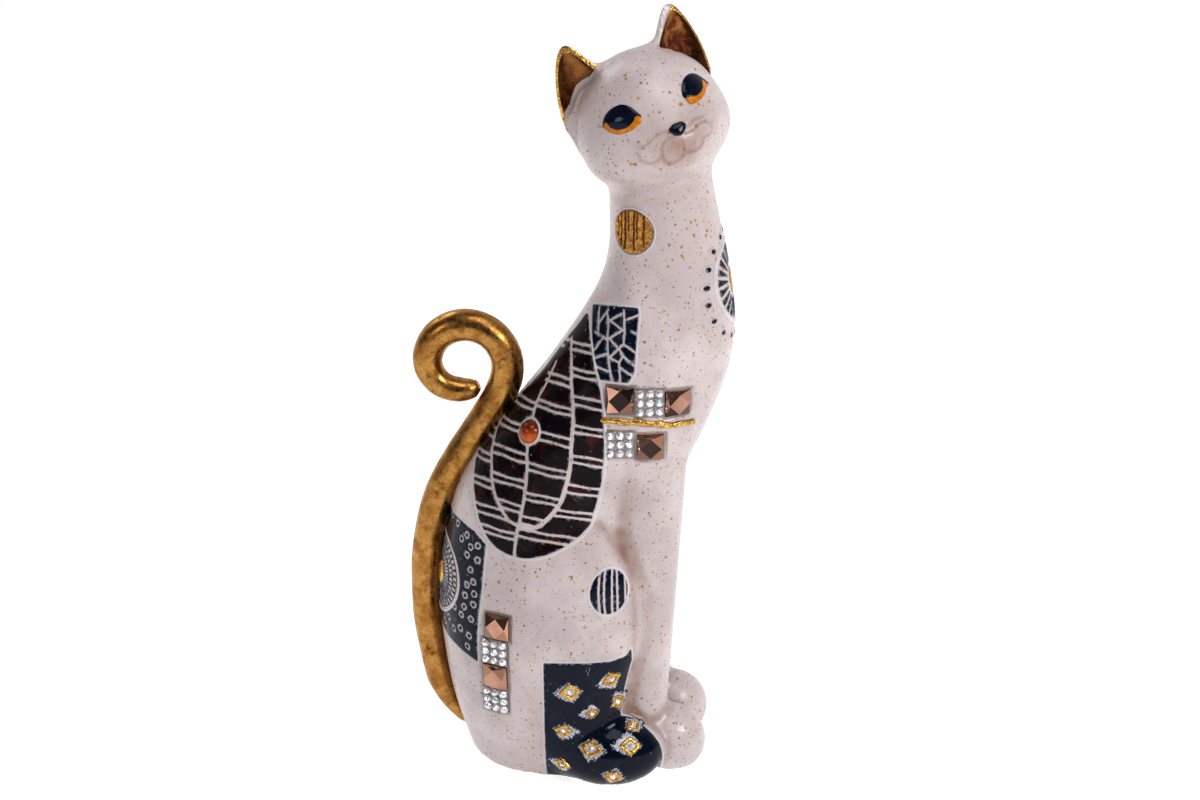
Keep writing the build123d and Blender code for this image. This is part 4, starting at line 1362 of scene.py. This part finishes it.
BAR_LINE = [(17.2, -28.8, 153.9), (24, -28.6, 153.4), (33.6, -27.4, 152.7), (42, -24.5, 151.2),
            (49.6, -18.6, 150.2)]
TRAY_CHART = chart((0, 0, 0), (0.05, -0.98, 0.2))
BAR_CURVE = smooth(flat(TRAY_CHART, BAR_LINE), False)


def bar_pattern(a, b, points):
    a, b = ripple(a, b, 7, 0.16, 2.0)
    return line_distance(a, b, BAR_CURVE) - 1.15


def tray_pattern(a, b, points):
    return tray_edge(points) + 0.15


def eye_frame(forward, sideways, up, normal):
    origin = in_head((forward, sideways, up))
    out = HEAD_AXES @ np.array(normal, float)
    return chart(origin, out, HEAD_AXES[:, 2])


NEAR_EYE = eye_frame(20.9, -14.1, 4.8, (0.82, -0.49, 0.29))
FAR_EYE = eye_frame(21, 13.8, 5.0, (0.83, 0.48, 0.30))
NEAR_EYE_OUTLINE = smooth([(-7.4, -0.3), (-5.9, 2.3), (-2.7, 4.3), (1.1, 4.6), (4.3, 2.6), (6.8, -1.3),
                           (6.1, -3.6), (3.0, -4.9), (0, -5.1), (-2.9, -4.6), (-5.7, -2.6)], True)
NEAR_EYE_BLACK = smooth([(-7.5, -0.5), (-6.0, 2.4), (-2.8, 4.4), (1.1, 4.7), (4.4, 2.7), (7.0, -1.3),
                         (5.6, -1.0),
                         (4.5, -2.5), (1.8, -3.8), (-1.5, -3.7), (-4.4, -2.1), (-5.6, 0.2),
                         (-6.6, -0.1)], True)
FAR_EYE_OUTLINE = smooth([(-4.9, 1.7), (-1.6, 4.3), (2.6, 5.0), (5.9, 3.1), (7.5, -0.5), (5.6, -1.9),
                          (2.5, -3.8),
                          (-1.6, -4.8), (-5.2, -4.4), (-5.9, -1.4)], True)
FAR_EYE_BLACK = smooth([(-6.0, -1.3), (-5.0, 1.7), (-1.7, 4.4), (2.6, 5.1), (5.9, 3.3), (8.2, -0.5),
                        (5.4, 0.9),
                        (3.3, -1.7), (-0.6, -3.1), (-3.8, -2.6)], True)
NOSE_OUTLINE = smooth([(-1.6, 3.7), (0.2, 4.9), (2.0, 5.0), (3.6, 4.8), (4.7, 3.4), (3.4, 1.6),
                       (1.4, 0.7), (-0.6, 1.7)], True)


EYE_BOX, NOSE_BOX = ((-10, -7), (10, 7)), ((-4, -2), (8, 8))
EYE_HEIGHT, EYE_ROUNDING = 0.9, 4.2


def eye_bulge(loop):
    def relief(a, b, points):
        return EYE_HEIGHT * np.clip(-loop_distance(a, b, loop) / EYE_ROUNDING, 0, 1) ** 0.8
    return relief


# Painted light on the linings, strong on the near ear and faint on the far one, and how far lining and rim
# stand off the cast ear
EAR_LIT = {-1: 1.0, 1: 0.1}
LINING_LIFT, RIM_LIFT, RIM_CLEAR = 0.2, 0.18, 1.2
EAR_ROWS, EAR_COLUMNS = 120, 150


def ear_lining(side):
    """Metal leaf over an ear's hollow front and its rim, cut where it meets the plain glaze."""
    height, turn = np.meshgrid(np.linspace(-0.24, 0.985, 150), np.linspace(-1.62, 1.62, 170), indexing="ij")
    size = cup_size(height)
    across = CUP_WIDTH * size * np.sin(turn)
    depth = CUP_OFFSET - CUP_DEPTH * size * np.cos(turn)
    points = from_ear(height, across, depth, side)
    value = solid_head_distance(points.reshape(-1, 3)).reshape(height.shape)
    value = np.maximum(value, leaf_end(height, across, side))
    front = HEAD_AXES @ ear_basis(side)[1][:, 2]
    value = np.where(value < 0, value, np.maximum(value, 1e-3))
    spots, quads, odd, _, _ = traced_region(value, np.ones(value.shape, bool))

    def at(grid):
        return between_cells(grid, spots[:, 0], spots[:, 1])

    edge = np.maximum(-at(value), 0)
    # lit is painted light: brighter towards the top and inner side of the ear, scaled per ear
    lit = np.clip((0.35 - 0.8 * at(np.sin(turn)) + 0.6 * at(height)) * EAR_LIT[side], 0, 1)
    return at(points) + LINING_LIFT * front, quads.tolist() + odd, {"edge": edge, "lit": lit}


def ear_front(height, across, side):
    """Points on the front face of an ear, before it is hollowed."""
    lift = np.sqrt(np.clip(ear_size(height) ** 2 - across ** 2, 0, None))
    return from_ear(height, across, EAR_FRONT * lift, side)


def ear_rim(side):
    """Gold along the ear's front edge, from the hollow out to the outer edge."""
    height, across = np.meshgrid(np.linspace(0.02, 1.0, EAR_ROWS), np.linspace(-1.05, 1.05, EAR_COLUMNS),
                                 indexing="ij")
    points = ear_front(height, across, side).reshape(-1, 3)
    cup = cup_distance(points, side).reshape(height.shape) / 5 * 8
    outer = (np.abs(across) - 0.985 * ear_size(height)) * 11
    head = body_distance(points).reshape(height.shape)
    value = np.maximum(np.maximum(-cup, outer), RIM_CLEAR - head)
    value = np.maximum(value, leaf_end(height, across, side))
    spots, quads, odd, _, _ = traced_region(value, np.ones(value.shape, bool))
    rows = np.interp(spots[:, 0], np.arange(EAR_ROWS), height[:, 0])
    places = np.interp(spots[:, 1], np.arange(EAR_COLUMNS), across[0])
    front = HEAD_AXES @ ear_basis(side)[1][:, 2]
    points = ear_front(rows, places, side) + RIM_LIFT * front
    return points, quads.tolist() + odd, {"edge": np.full(len(points), 0.2)}


# ---------------------------------------------------------------- crystals
def brilliant(radius, height, girdle=0.3):
    """Round brilliant crown on a flat back: table, star facets, kites and girdle facets."""
    low = [(radius * math.cos(t), radius * math.sin(t), 0) for t in np.arange(16) * math.pi / 8]
    edge = [(x, y, girdle) for x, y, _ in low]
    middle = [(0.78 * radius * math.cos(t), 0.78 * radius * math.sin(t), girdle + 0.62 * (height - girdle))
              for t in (np.arange(8) + 0.5) * math.pi / 4]
    table = [(0.5 * radius * math.cos(t), 0.5 * radius * math.sin(t), height)
             for t in np.arange(8) * math.pi / 4]
    vertices = np.array(low + edge + middle + table, float)
    e, m, t = 16, 32, 40
    faces = [list(range(15, -1, -1)), [t + k for k in range(8)]]
    for k in range(16):
        faces.append([k, (k + 1) % 16, e + (k + 1) % 16, e + k])
    for k in range(8):
        n = (k + 1) % 8
        faces.append([t + k, m + k, t + n])
        faces.append([t + k, m + (k - 1) % 8, e + 2 * k, m + k])
        faces.append([m + k, e + 2 * k, e + 2 * k + 1])
        faces.append([m + k, e + 2 * k + 1, e + (2 * k + 2) % 16])
    return vertices, faces


NET_SEED, FOOT_SEED = 7, 31


def set_crystals(seats, radius, height, seed):
    """Crystals at (point, axes) seats, each turned and tipped a little."""
    rng = np.random.default_rng(seed)
    vertices, faces, base = [], [], 0
    for origin, level, rising, outward in seats:
        turn, tip_a, tip_b = rng.uniform(0, 2 * math.pi), rng.normal(0, 0.05), rng.normal(0, 0.05)
        out = outward + tip_a * level + tip_b * rising
        out /= np.linalg.norm(out)
        x = np.cross(rising, out)
        x /= np.linalg.norm(x)
        y = np.cross(out, x)
        points, loops = brilliant(radius * rng.uniform(0.97, 1.0), height * rng.uniform(0.92, 1.0))
        c, s = math.cos(turn), math.sin(turn)
        spin = np.array([[c, s, 0], [-s, c, 0], [0, 0, 1]])
        vertices.append(origin + (points @ spin) @ np.stack([x, y, out]))
        faces += [[base + k for k in loop] for loop in loops]
        base += len(points)
    points = np.vstack(vertices)
    return points, faces, {"edge": np.full(len(points), 1.0)}


def net_seats(place):
    origin, level, rising, outward = surface_frame(place)
    return [(origin + level * i * CRYSTAL_PITCH + rising * j * CRYSTAL_PITCH - outward * CRYSTAL_BED,
             level, rising, outward) for j in (-1, 0, 1) for i in (-1, 0, 1)]


def foot_seats():
    frames = [surface_frame(place) for place in FOOT_CRYSTAL_PLACES]
    return [(origin - outward * (FOOT_CRYSTAL_SINK - LOZENGE_LIFT), level, rising, outward)
            for origin, level, rising, outward in frames]


def collar_pattern(a, b, points):
    """Pale ring that holds the cabochon."""
    away = np.hypot(a, b)
    return np.maximum(away - CABOCHON_SEAT + 0.4, COLLAR_INSIDE - away)


# ---------------------------------------------------------------- putting it together
def dress_cad_nodes():
    looks = {"net": NET, "cabochon": AMBER, "base_plate": BOARD, "base_felt": FELT,
             "vent_stopper": RUBBER, "tail_dowels": STEEL}
    for name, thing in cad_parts.items():
        for ending, material in looks.items():
            if name.endswith(ending):
                for slot in thing.material_slots:
                    slot.material = material


def outline(loop):
    """Pattern of a closed outline."""
    return lambda a, b, points: loop_distance(a, b, loop)


def foot_rim(a, b, points):
    return np.maximum(rim_of(foot_pattern, 0.8)(a, b, points), GROUND + 1.5 - points[:, 2])


# Material and slot of the sheets
NAVY_LOOK, BROWN_LOOK, PALE_LOOK = (NAVY, "navy_enamel"), (BROWN, "brown_enamel"), (PALE, "relief_cream")
GOLD_LOOK, DISC_LOOK, DISC_DARK_LOOK = ((metal, "gold_leaf") for metal in (LEAF_GOLD, DISC_GOLD, DISC_DARK))

# Glazed sheets: name, chart, lower left and upper right corner, grid step, pattern, look,
# and base, rise and edge width of the layer. Low and high sheets are on both sides
LOW_SHEETS = [
    ("leaf_enamel", LEAF_CHART, (-29, 80), (30, 181), 0.42, leaf_pattern, BROWN_LOOK, (0.06, 0.3, 0.6)),
    ("leaf_rim", LEAF_CHART, (-31, 79), (32, 183), 0.42, rim_of(outline(LEAF_OUTLINE), 1.1), PALE_LOOK,
     (0.02, 0.22, 0.6)),
    ("crackle_enamel", CRACKLE_CHART, (12, 149), (36, 180), 0.35, crackle_pattern, NAVY_LOOK,
     (0.06, 0.3, 0.6)),
    ("crackle_rim", CRACKLE_CHART, (11, 148), (37, 181), 0.35, rim_of(outline(CRACKLE_OUTLINE), 0.9),
     PALE_LOOK, (0.02, 0.2, 0.5)),
    ("rear_enamel", REAR_CHART, (-27, 45), (8, 106), 0.36, rear_pattern, NAVY_LOOK, (0.06, 0.2, 0.5)),
    ("fan_enamel", REAR_CHART, (-27, 57), (-4, 91), 0.24, fan_pattern, NAVY_LOOK, (0.06, 0.22, 0.4)),
    ("fan_gold", REAR_CHART, (-30, 68), (-18, 80), 0.35, fan_gold, GOLD_LOOK, (0.3, 0.7, 1.5)),
    ("fan_rim", REAR_CHART, (-27, 56), (-3, 92), 0.35, rim_of(fan_outline, 0.9), PALE_LOOK, (0.1, 0.4, 0.45)),
    ("foot_enamel", FOOT_CHART, (-36, -30), (25, 42), 0.5, foot_pattern, NAVY_LOOK, (0.06, 0.2, 0.8)),
    ("foot_rim", FOOT_CHART, (-36, -30), (25, 42), 0.45, foot_rim, PALE_LOOK, (0.02, 0.2, 0.45)),
    ("rear_rim", REAR_CHART, (-26, 44), (9, 107), 0.45, rim_of(outline(REAR_OUTLINE), 0.8), PALE_LOOK,
     (0.02, 0.2, 0.45)),
]
HIGH_SHEETS = [
    ("knee_enamel", KNEE_CHART, (-11, -11), (11, 11), 0.3, knee_pattern, NAVY_LOOK, (0.06, 0.22, 0.5)),
    ("knee_rim", KNEE_CHART, (-12, -12), (12, 12), 0.35, rim_of(knee_outline, 1.0), PALE_LOOK,
     (0.02, 0.3, 0.6)),
    ("neck_disc_ground", NECK_FRAME, (-9, -9), (9, 9), 0.4, neck_outline, DISC_DARK_LOOK, (0.1, 0.1, 0.5)),
    ("neck_disc", NECK_FRAME, (-9, -9), (9, 9), 0.22, neck_pattern, DISC_LOOK, (0.15, 0.6, 0.75)),
    ("neck_rim", NECK_FRAME, (-11, -11), (11, 11), 0.3, rim_of(neck_rim_line, 0.8), PALE_LOOK,
     (0.05, 0.45, 0.5)),
    ("shoulder_bar", TRAY_CHART, (10, 138), (56, 152), 0.3, bar_pattern, GOLD_LOOK, (0.2, 0.75, 1.1)),
    ("cabochon_collar", CABOCHON_FRAME, (-6, -6), (6, 6), 0.25, collar_pattern, PALE_LOOK, (0.05, 0.5, 0.4)),
]
CHEST_SHEETS = [
    ("chest_enamel", CHEST_CHART, (-14, -15), (14, 15), 0.3, chest_pattern, NAVY_LOOK, (0.06, 0.3, 0.6)),
    ("chest_gold", CHEST_CHART, (-6, -7), (6, 7), 0.3, chest_gold, GOLD_LOOK, (0.2, 0.2, 1.5)),
    ("chest_rim", CHEST_CHART, (-16, -18), (16, 18), 0.35, rim_of(chest_outline, 1.6), PALE_LOOK,
     (0.03, 0.5, 0.8)),
    ("chest_dots", CHEST_CHART, (-20, -22), (20, 22), 0.3, chest_dots(-1, 0.95), NAVY_LOOK, (0.1, 0.3, 0.6)),
    ("chest_dot_rims", CHEST_CHART, (-21, -23), (21, 23), 0.3, chest_dots(1.0, 1.9), (CREAM, "cast_body"),
     (0.02, 0.25, 0.45)),
]
TRAY_SHEETS = [(TRAY_CHART, (8, 122), (60, 172)), (chart((0, 0, 0), (-0.5, -0.86, 0)), (-50, 22), (10, 82))]


def add_sheets(rows, make):
    for name, face, low, high, step, pattern, look, layer in rows:
        make(name, sheet(face, low, high, step, pattern, body_distance, *layer), *look)


def patches():
    add_sheets(LOW_SHEETS, both_sides)
    both_sides("foot_halos", lozenge_sheets("halo"), SMEAR, "relief_cream")
    both_sides("foot_lozenges", lozenge_sheets("frame"), LEAF_GOLD, "gold_leaf")
    both_sides("foot_lozenge_beds", lozenge_sheets("middle"), PALE, "relief_cream")
    add_sheets(HIGH_SHEETS, both_sides)
    add_sheets(CHEST_SHEETS, piece)
    trays = [sheet(*tray, 0.4, tray_pattern, tray_body_distance, 0.03, 0.03, 0.5) for tray in TRAY_SHEETS]
    both_sides("tray_floors", joined(*trays), TRAY, "silver_net")


def head_trim():
    for side, name in ((-1, "near"), (1, "far")):
        piece(f"{name}_ear_lining", ear_lining(side), EAR_METAL, "ear_gilt")
        piece(f"{name}_ear_rim", ear_rim(side), LEAF_GOLD, "gold_leaf")
    eyes = (("near", NEAR_EYE, NEAR_EYE_OUTLINE, NEAR_EYE_BLACK),
            ("far", FAR_EYE, FAR_EYE_OUTLINE, FAR_EYE_BLACK))
    for name, face, shape, black in eyes:
        bulge = eye_bulge(shape)
        iris = sheet(face, *EYE_BOX, 0.2, outline(shape), body_distance, 0.05, 0.2, 0.6, bulge)
        pupil = sheet(face, *EYE_BOX, 0.2, outline(black), body_distance, 0.28, 0.12, 0.5, bulge)
        piece(f"{name}_eye_orange", iris, ORANGE, "eye_orange")
        piece(f"{name}_eye_black", pupil, BLACK, "eye_black")
    nose = sheet(FACE, *NOSE_BOX, 0.2, outline(NOSE_OUTLINE), body_distance, 0.1, 0.9, 2.4)
    piece("nose", nose, BLACK, "eye_black")


# Painted reflection of each facet, from dark to bright copper foil: table, then the side and corner facets in
# turn round the stone
STONE_GLINTS = {
    "shoulder_upper_rear": (0.03, 0.75, 0.25, 0.10, 0.30, 0.55, 0.95, 0.80, 0.35),
    "shoulder_upper_front": (0.62, 0.45, 0.70, 0.55, 0.85, 0.35, 0.06, 0.90, 0.10),
    "shoulder_lower": (0.05, 0.50, 0.75, 0.60, 0.20, 0.65, 0.30, 0.55, 0.45),
    "hip_upper": (0.78, 0.55, 0.85, 0.45, 0.65, 0.70, 0.35, 0.90, 0.60),
    "hip_lower": (0.72, 0.60, 0.45, 0.80, 0.55, 0.90, 0.50, 0.70, 0.65),
}


def cut_stone(place, glints):
    """Square stone with a turned square table, facets apart so that each has its own glint."""
    half, table = STONE_SIDE / 2, STONE_TABLE / 2
    origin, level, rising, outward = surface_frame(place)
    corners = [(half, half), (-half, half), (-half, -half), (half, -half)]
    tips = [(table, 0), (0, table), (-table, 0), (0, -table)]
    facets, shares = [[(x, y, STONE_HEIGHT) for x, y in tips]], [glints[0]]
    for i in range(4):
        j = (i + 1) % 4
        low, high = (*corners[i], STONE_GIRDLE), (*corners[j], STONE_GIRDLE)
        top, nxt = (*tips[i], STONE_HEIGHT), (*tips[j], STONE_HEIGHT)
        facets += [[low, high, nxt], [low, nxt, top], [(*corners[i], 0), (*corners[j], 0), high, low]]
        shares += [glints[1 + 2 * i], glints[2 + 2 * i], 0.3]
    facets.append([(x, y, 0) for x, y in corners[::-1]])
    shares.append(0.3)
    points, faces, glint = [], [], []
    for facet, share in zip(facets, shares):
        faces.append(list(range(len(points), len(points) + len(facet))))
        points += [origin + x * level + y * rising + (z - STONE_SINK) * outward for x, y, z in facet]
        glint += [share] * len(facet)
    return np.array(points), faces, {"glint": glint}


def stones():
    for (name, glints), place in zip(STONE_GLINTS.items(), STONE_PLACES):
        part = cut_stone(place, glints)
        made = both_sides(f"{name}_cut_stone", part, STONE, "copper_glass", shade_smooth=False)
        for thing, side in zip(made, ("right", "left")):
            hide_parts(f"{side}_{name}_stone")


def crystals():
    sets = {name: (net_seats(place), CRYSTAL_RADIUS, CRYSTAL_HEIGHT, NET_SEED + k)
            for k, (name, place) in enumerate(NET_PLACES.items())}
    sets["foot"] = (foot_seats(), FOOT_CRYSTAL_RADIUS, FOOT_CRYSTAL_HEIGHT, FOOT_SEED)
    for name, details in sets.items():
        part = set_crystals(*details)
        made = both_sides(f"{name}_crystal_set", part, CRYSTAL, "crystal_glass", shade_smooth=False)
        for thing, side in zip(made, ("right", "left")):
            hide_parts(f"{side}_{name}_crystals")


# ---------------------------------------------------------------- studio
# Square lights: name, place and aim in metres, side of the square, power
AIM = (0.013, 0, 0.15)
LIGHTS = [
    ("key", (-0.95, -1.0, 0.75), AIM, 0.5, 2.7),
    ("fill", (0.62, -0.48, 0.62), (0.03, 0, 0.2), 0.35, 4.4),
    ("top", (0.2, -0.45, 1.45), AIM, 0.7, 4.5),
    ("rim", (-0.85, 0.6, 1.1), AIM, 0.6, 3.5),
]
# The surroundings fade from pale behind to dark in this direction
WORLD_WAY = (0.06, -0.95, 0.22)
WORLD_FADE = {"From Min": -0.6, "From Max": 0.3, "To Min": 0.8, "To Max": 0.10}
GAMMA = 0.86
FLOOR_HALF, FLOOR_GAP, FLOOR_GLOW = 14.0, 0.0002, 0.79
CAMERA_AIM, CAMERA_AWAY = (0.0135, 0, 0.150), 0.64
CAMERA_TURN, CAMERA_RISE = math.radians(5), math.radians(22)


def add_to_scene(name, data):
    thing = bpy.data.objects.new(name, data)
    bpy.context.scene.collection.objects.link(thing)
    return thing


def area_light(name, place, aim, side, power):
    data = bpy.data.lights.new(name, "AREA")
    data.shape = "RECTANGLE"
    data.size = data.size_y = side
    data.energy = power
    lamp = add_to_scene(name, data)
    lamp.location = place
    lamp.rotation_euler = (Vector(aim) - Vector(place)).to_track_quat("-Z", "Y").to_euler()


def studio():
    scene = bpy.context.scene
    scene.view_settings.view_transform = "Standard"
    scene.view_settings.gamma = GAMMA
    scene.world = bpy.data.worlds.new("studio")
    scene.world.use_nodes = True
    tree = scene.world.node_tree
    back = tree.nodes["Background"]
    where = tree.nodes.new("ShaderNodeTexCoord")
    toward = tree.nodes.new("ShaderNodeVectorMath")
    toward.operation = "DOT_PRODUCT"
    toward.inputs[1].default_value = Vector(WORLD_WAY).normalized()
    tree.links.new(where.outputs["Generated"], toward.inputs[0])
    shade = tree.nodes.new("ShaderNodeMapRange")
    shade.interpolation_type = "SMOOTHSTEP"
    for key, value in WORLD_FADE.items():
        shade.inputs[key].default_value = value
    tree.links.new(toward.outputs["Value"], shade.inputs["Value"])
    tree.links.new(shade.outputs["Result"], back.inputs["Color"])
    back.inputs["Strength"].default_value = 1.0
    for light in LIGHTS:
        area_light(*light)


def floor():
    mesh = bpy.data.meshes.new("floor")
    corners = [(x * FLOOR_HALF, y * FLOOR_HALF, cad_low.z - FLOOR_GAP)
               for x, y in ((-1, -1), (1, -1), (1, 1), (-1, 1))]
    mesh.from_pydata(corners, [], [(0, 1, 2, 3)])
    g = Graph("floor_paper", Emission_Color=(1, 1, 1, 1), Emission_Strength=FLOOR_GLOW)
    paper = g.ramp(g.noise(40, 2, 0.5, seed=81), 0.3, 0.7)
    g.shade("Base Color", g.mix(paper, (0.50, 0.50, 0.50), (0.52, 0.52, 0.52)))
    g.shade("Roughness", g.ramp(g.noise(20, 2, 0.5, seed=82), 0.3, 0.7, 0.7, 0.8))
    mesh.materials.append(g.material)
    thing = add_to_scene("floor", mesh)


def camera():
    data = bpy.data.cameras.new("camera")
    data.lens, data.sensor_width = 50, 36
    thing = add_to_scene("camera", data)
    level = math.cos(CAMERA_RISE)
    back = Vector((math.sin(CAMERA_TURN) * level, -math.cos(CAMERA_TURN) * level, math.sin(CAMERA_RISE)))
    thing.location = Vector(CAMERA_AIM) + CAMERA_AWAY * back
    thing.rotation_euler = (-back).to_track_quat("-Z", "Y").to_euler()
    bpy.context.scene.camera = thing


camera()
studio()
floor()
dress_cad_nodes()
body_casting()
tail_casting()
patches()
head_trim()
crystals()
stones()
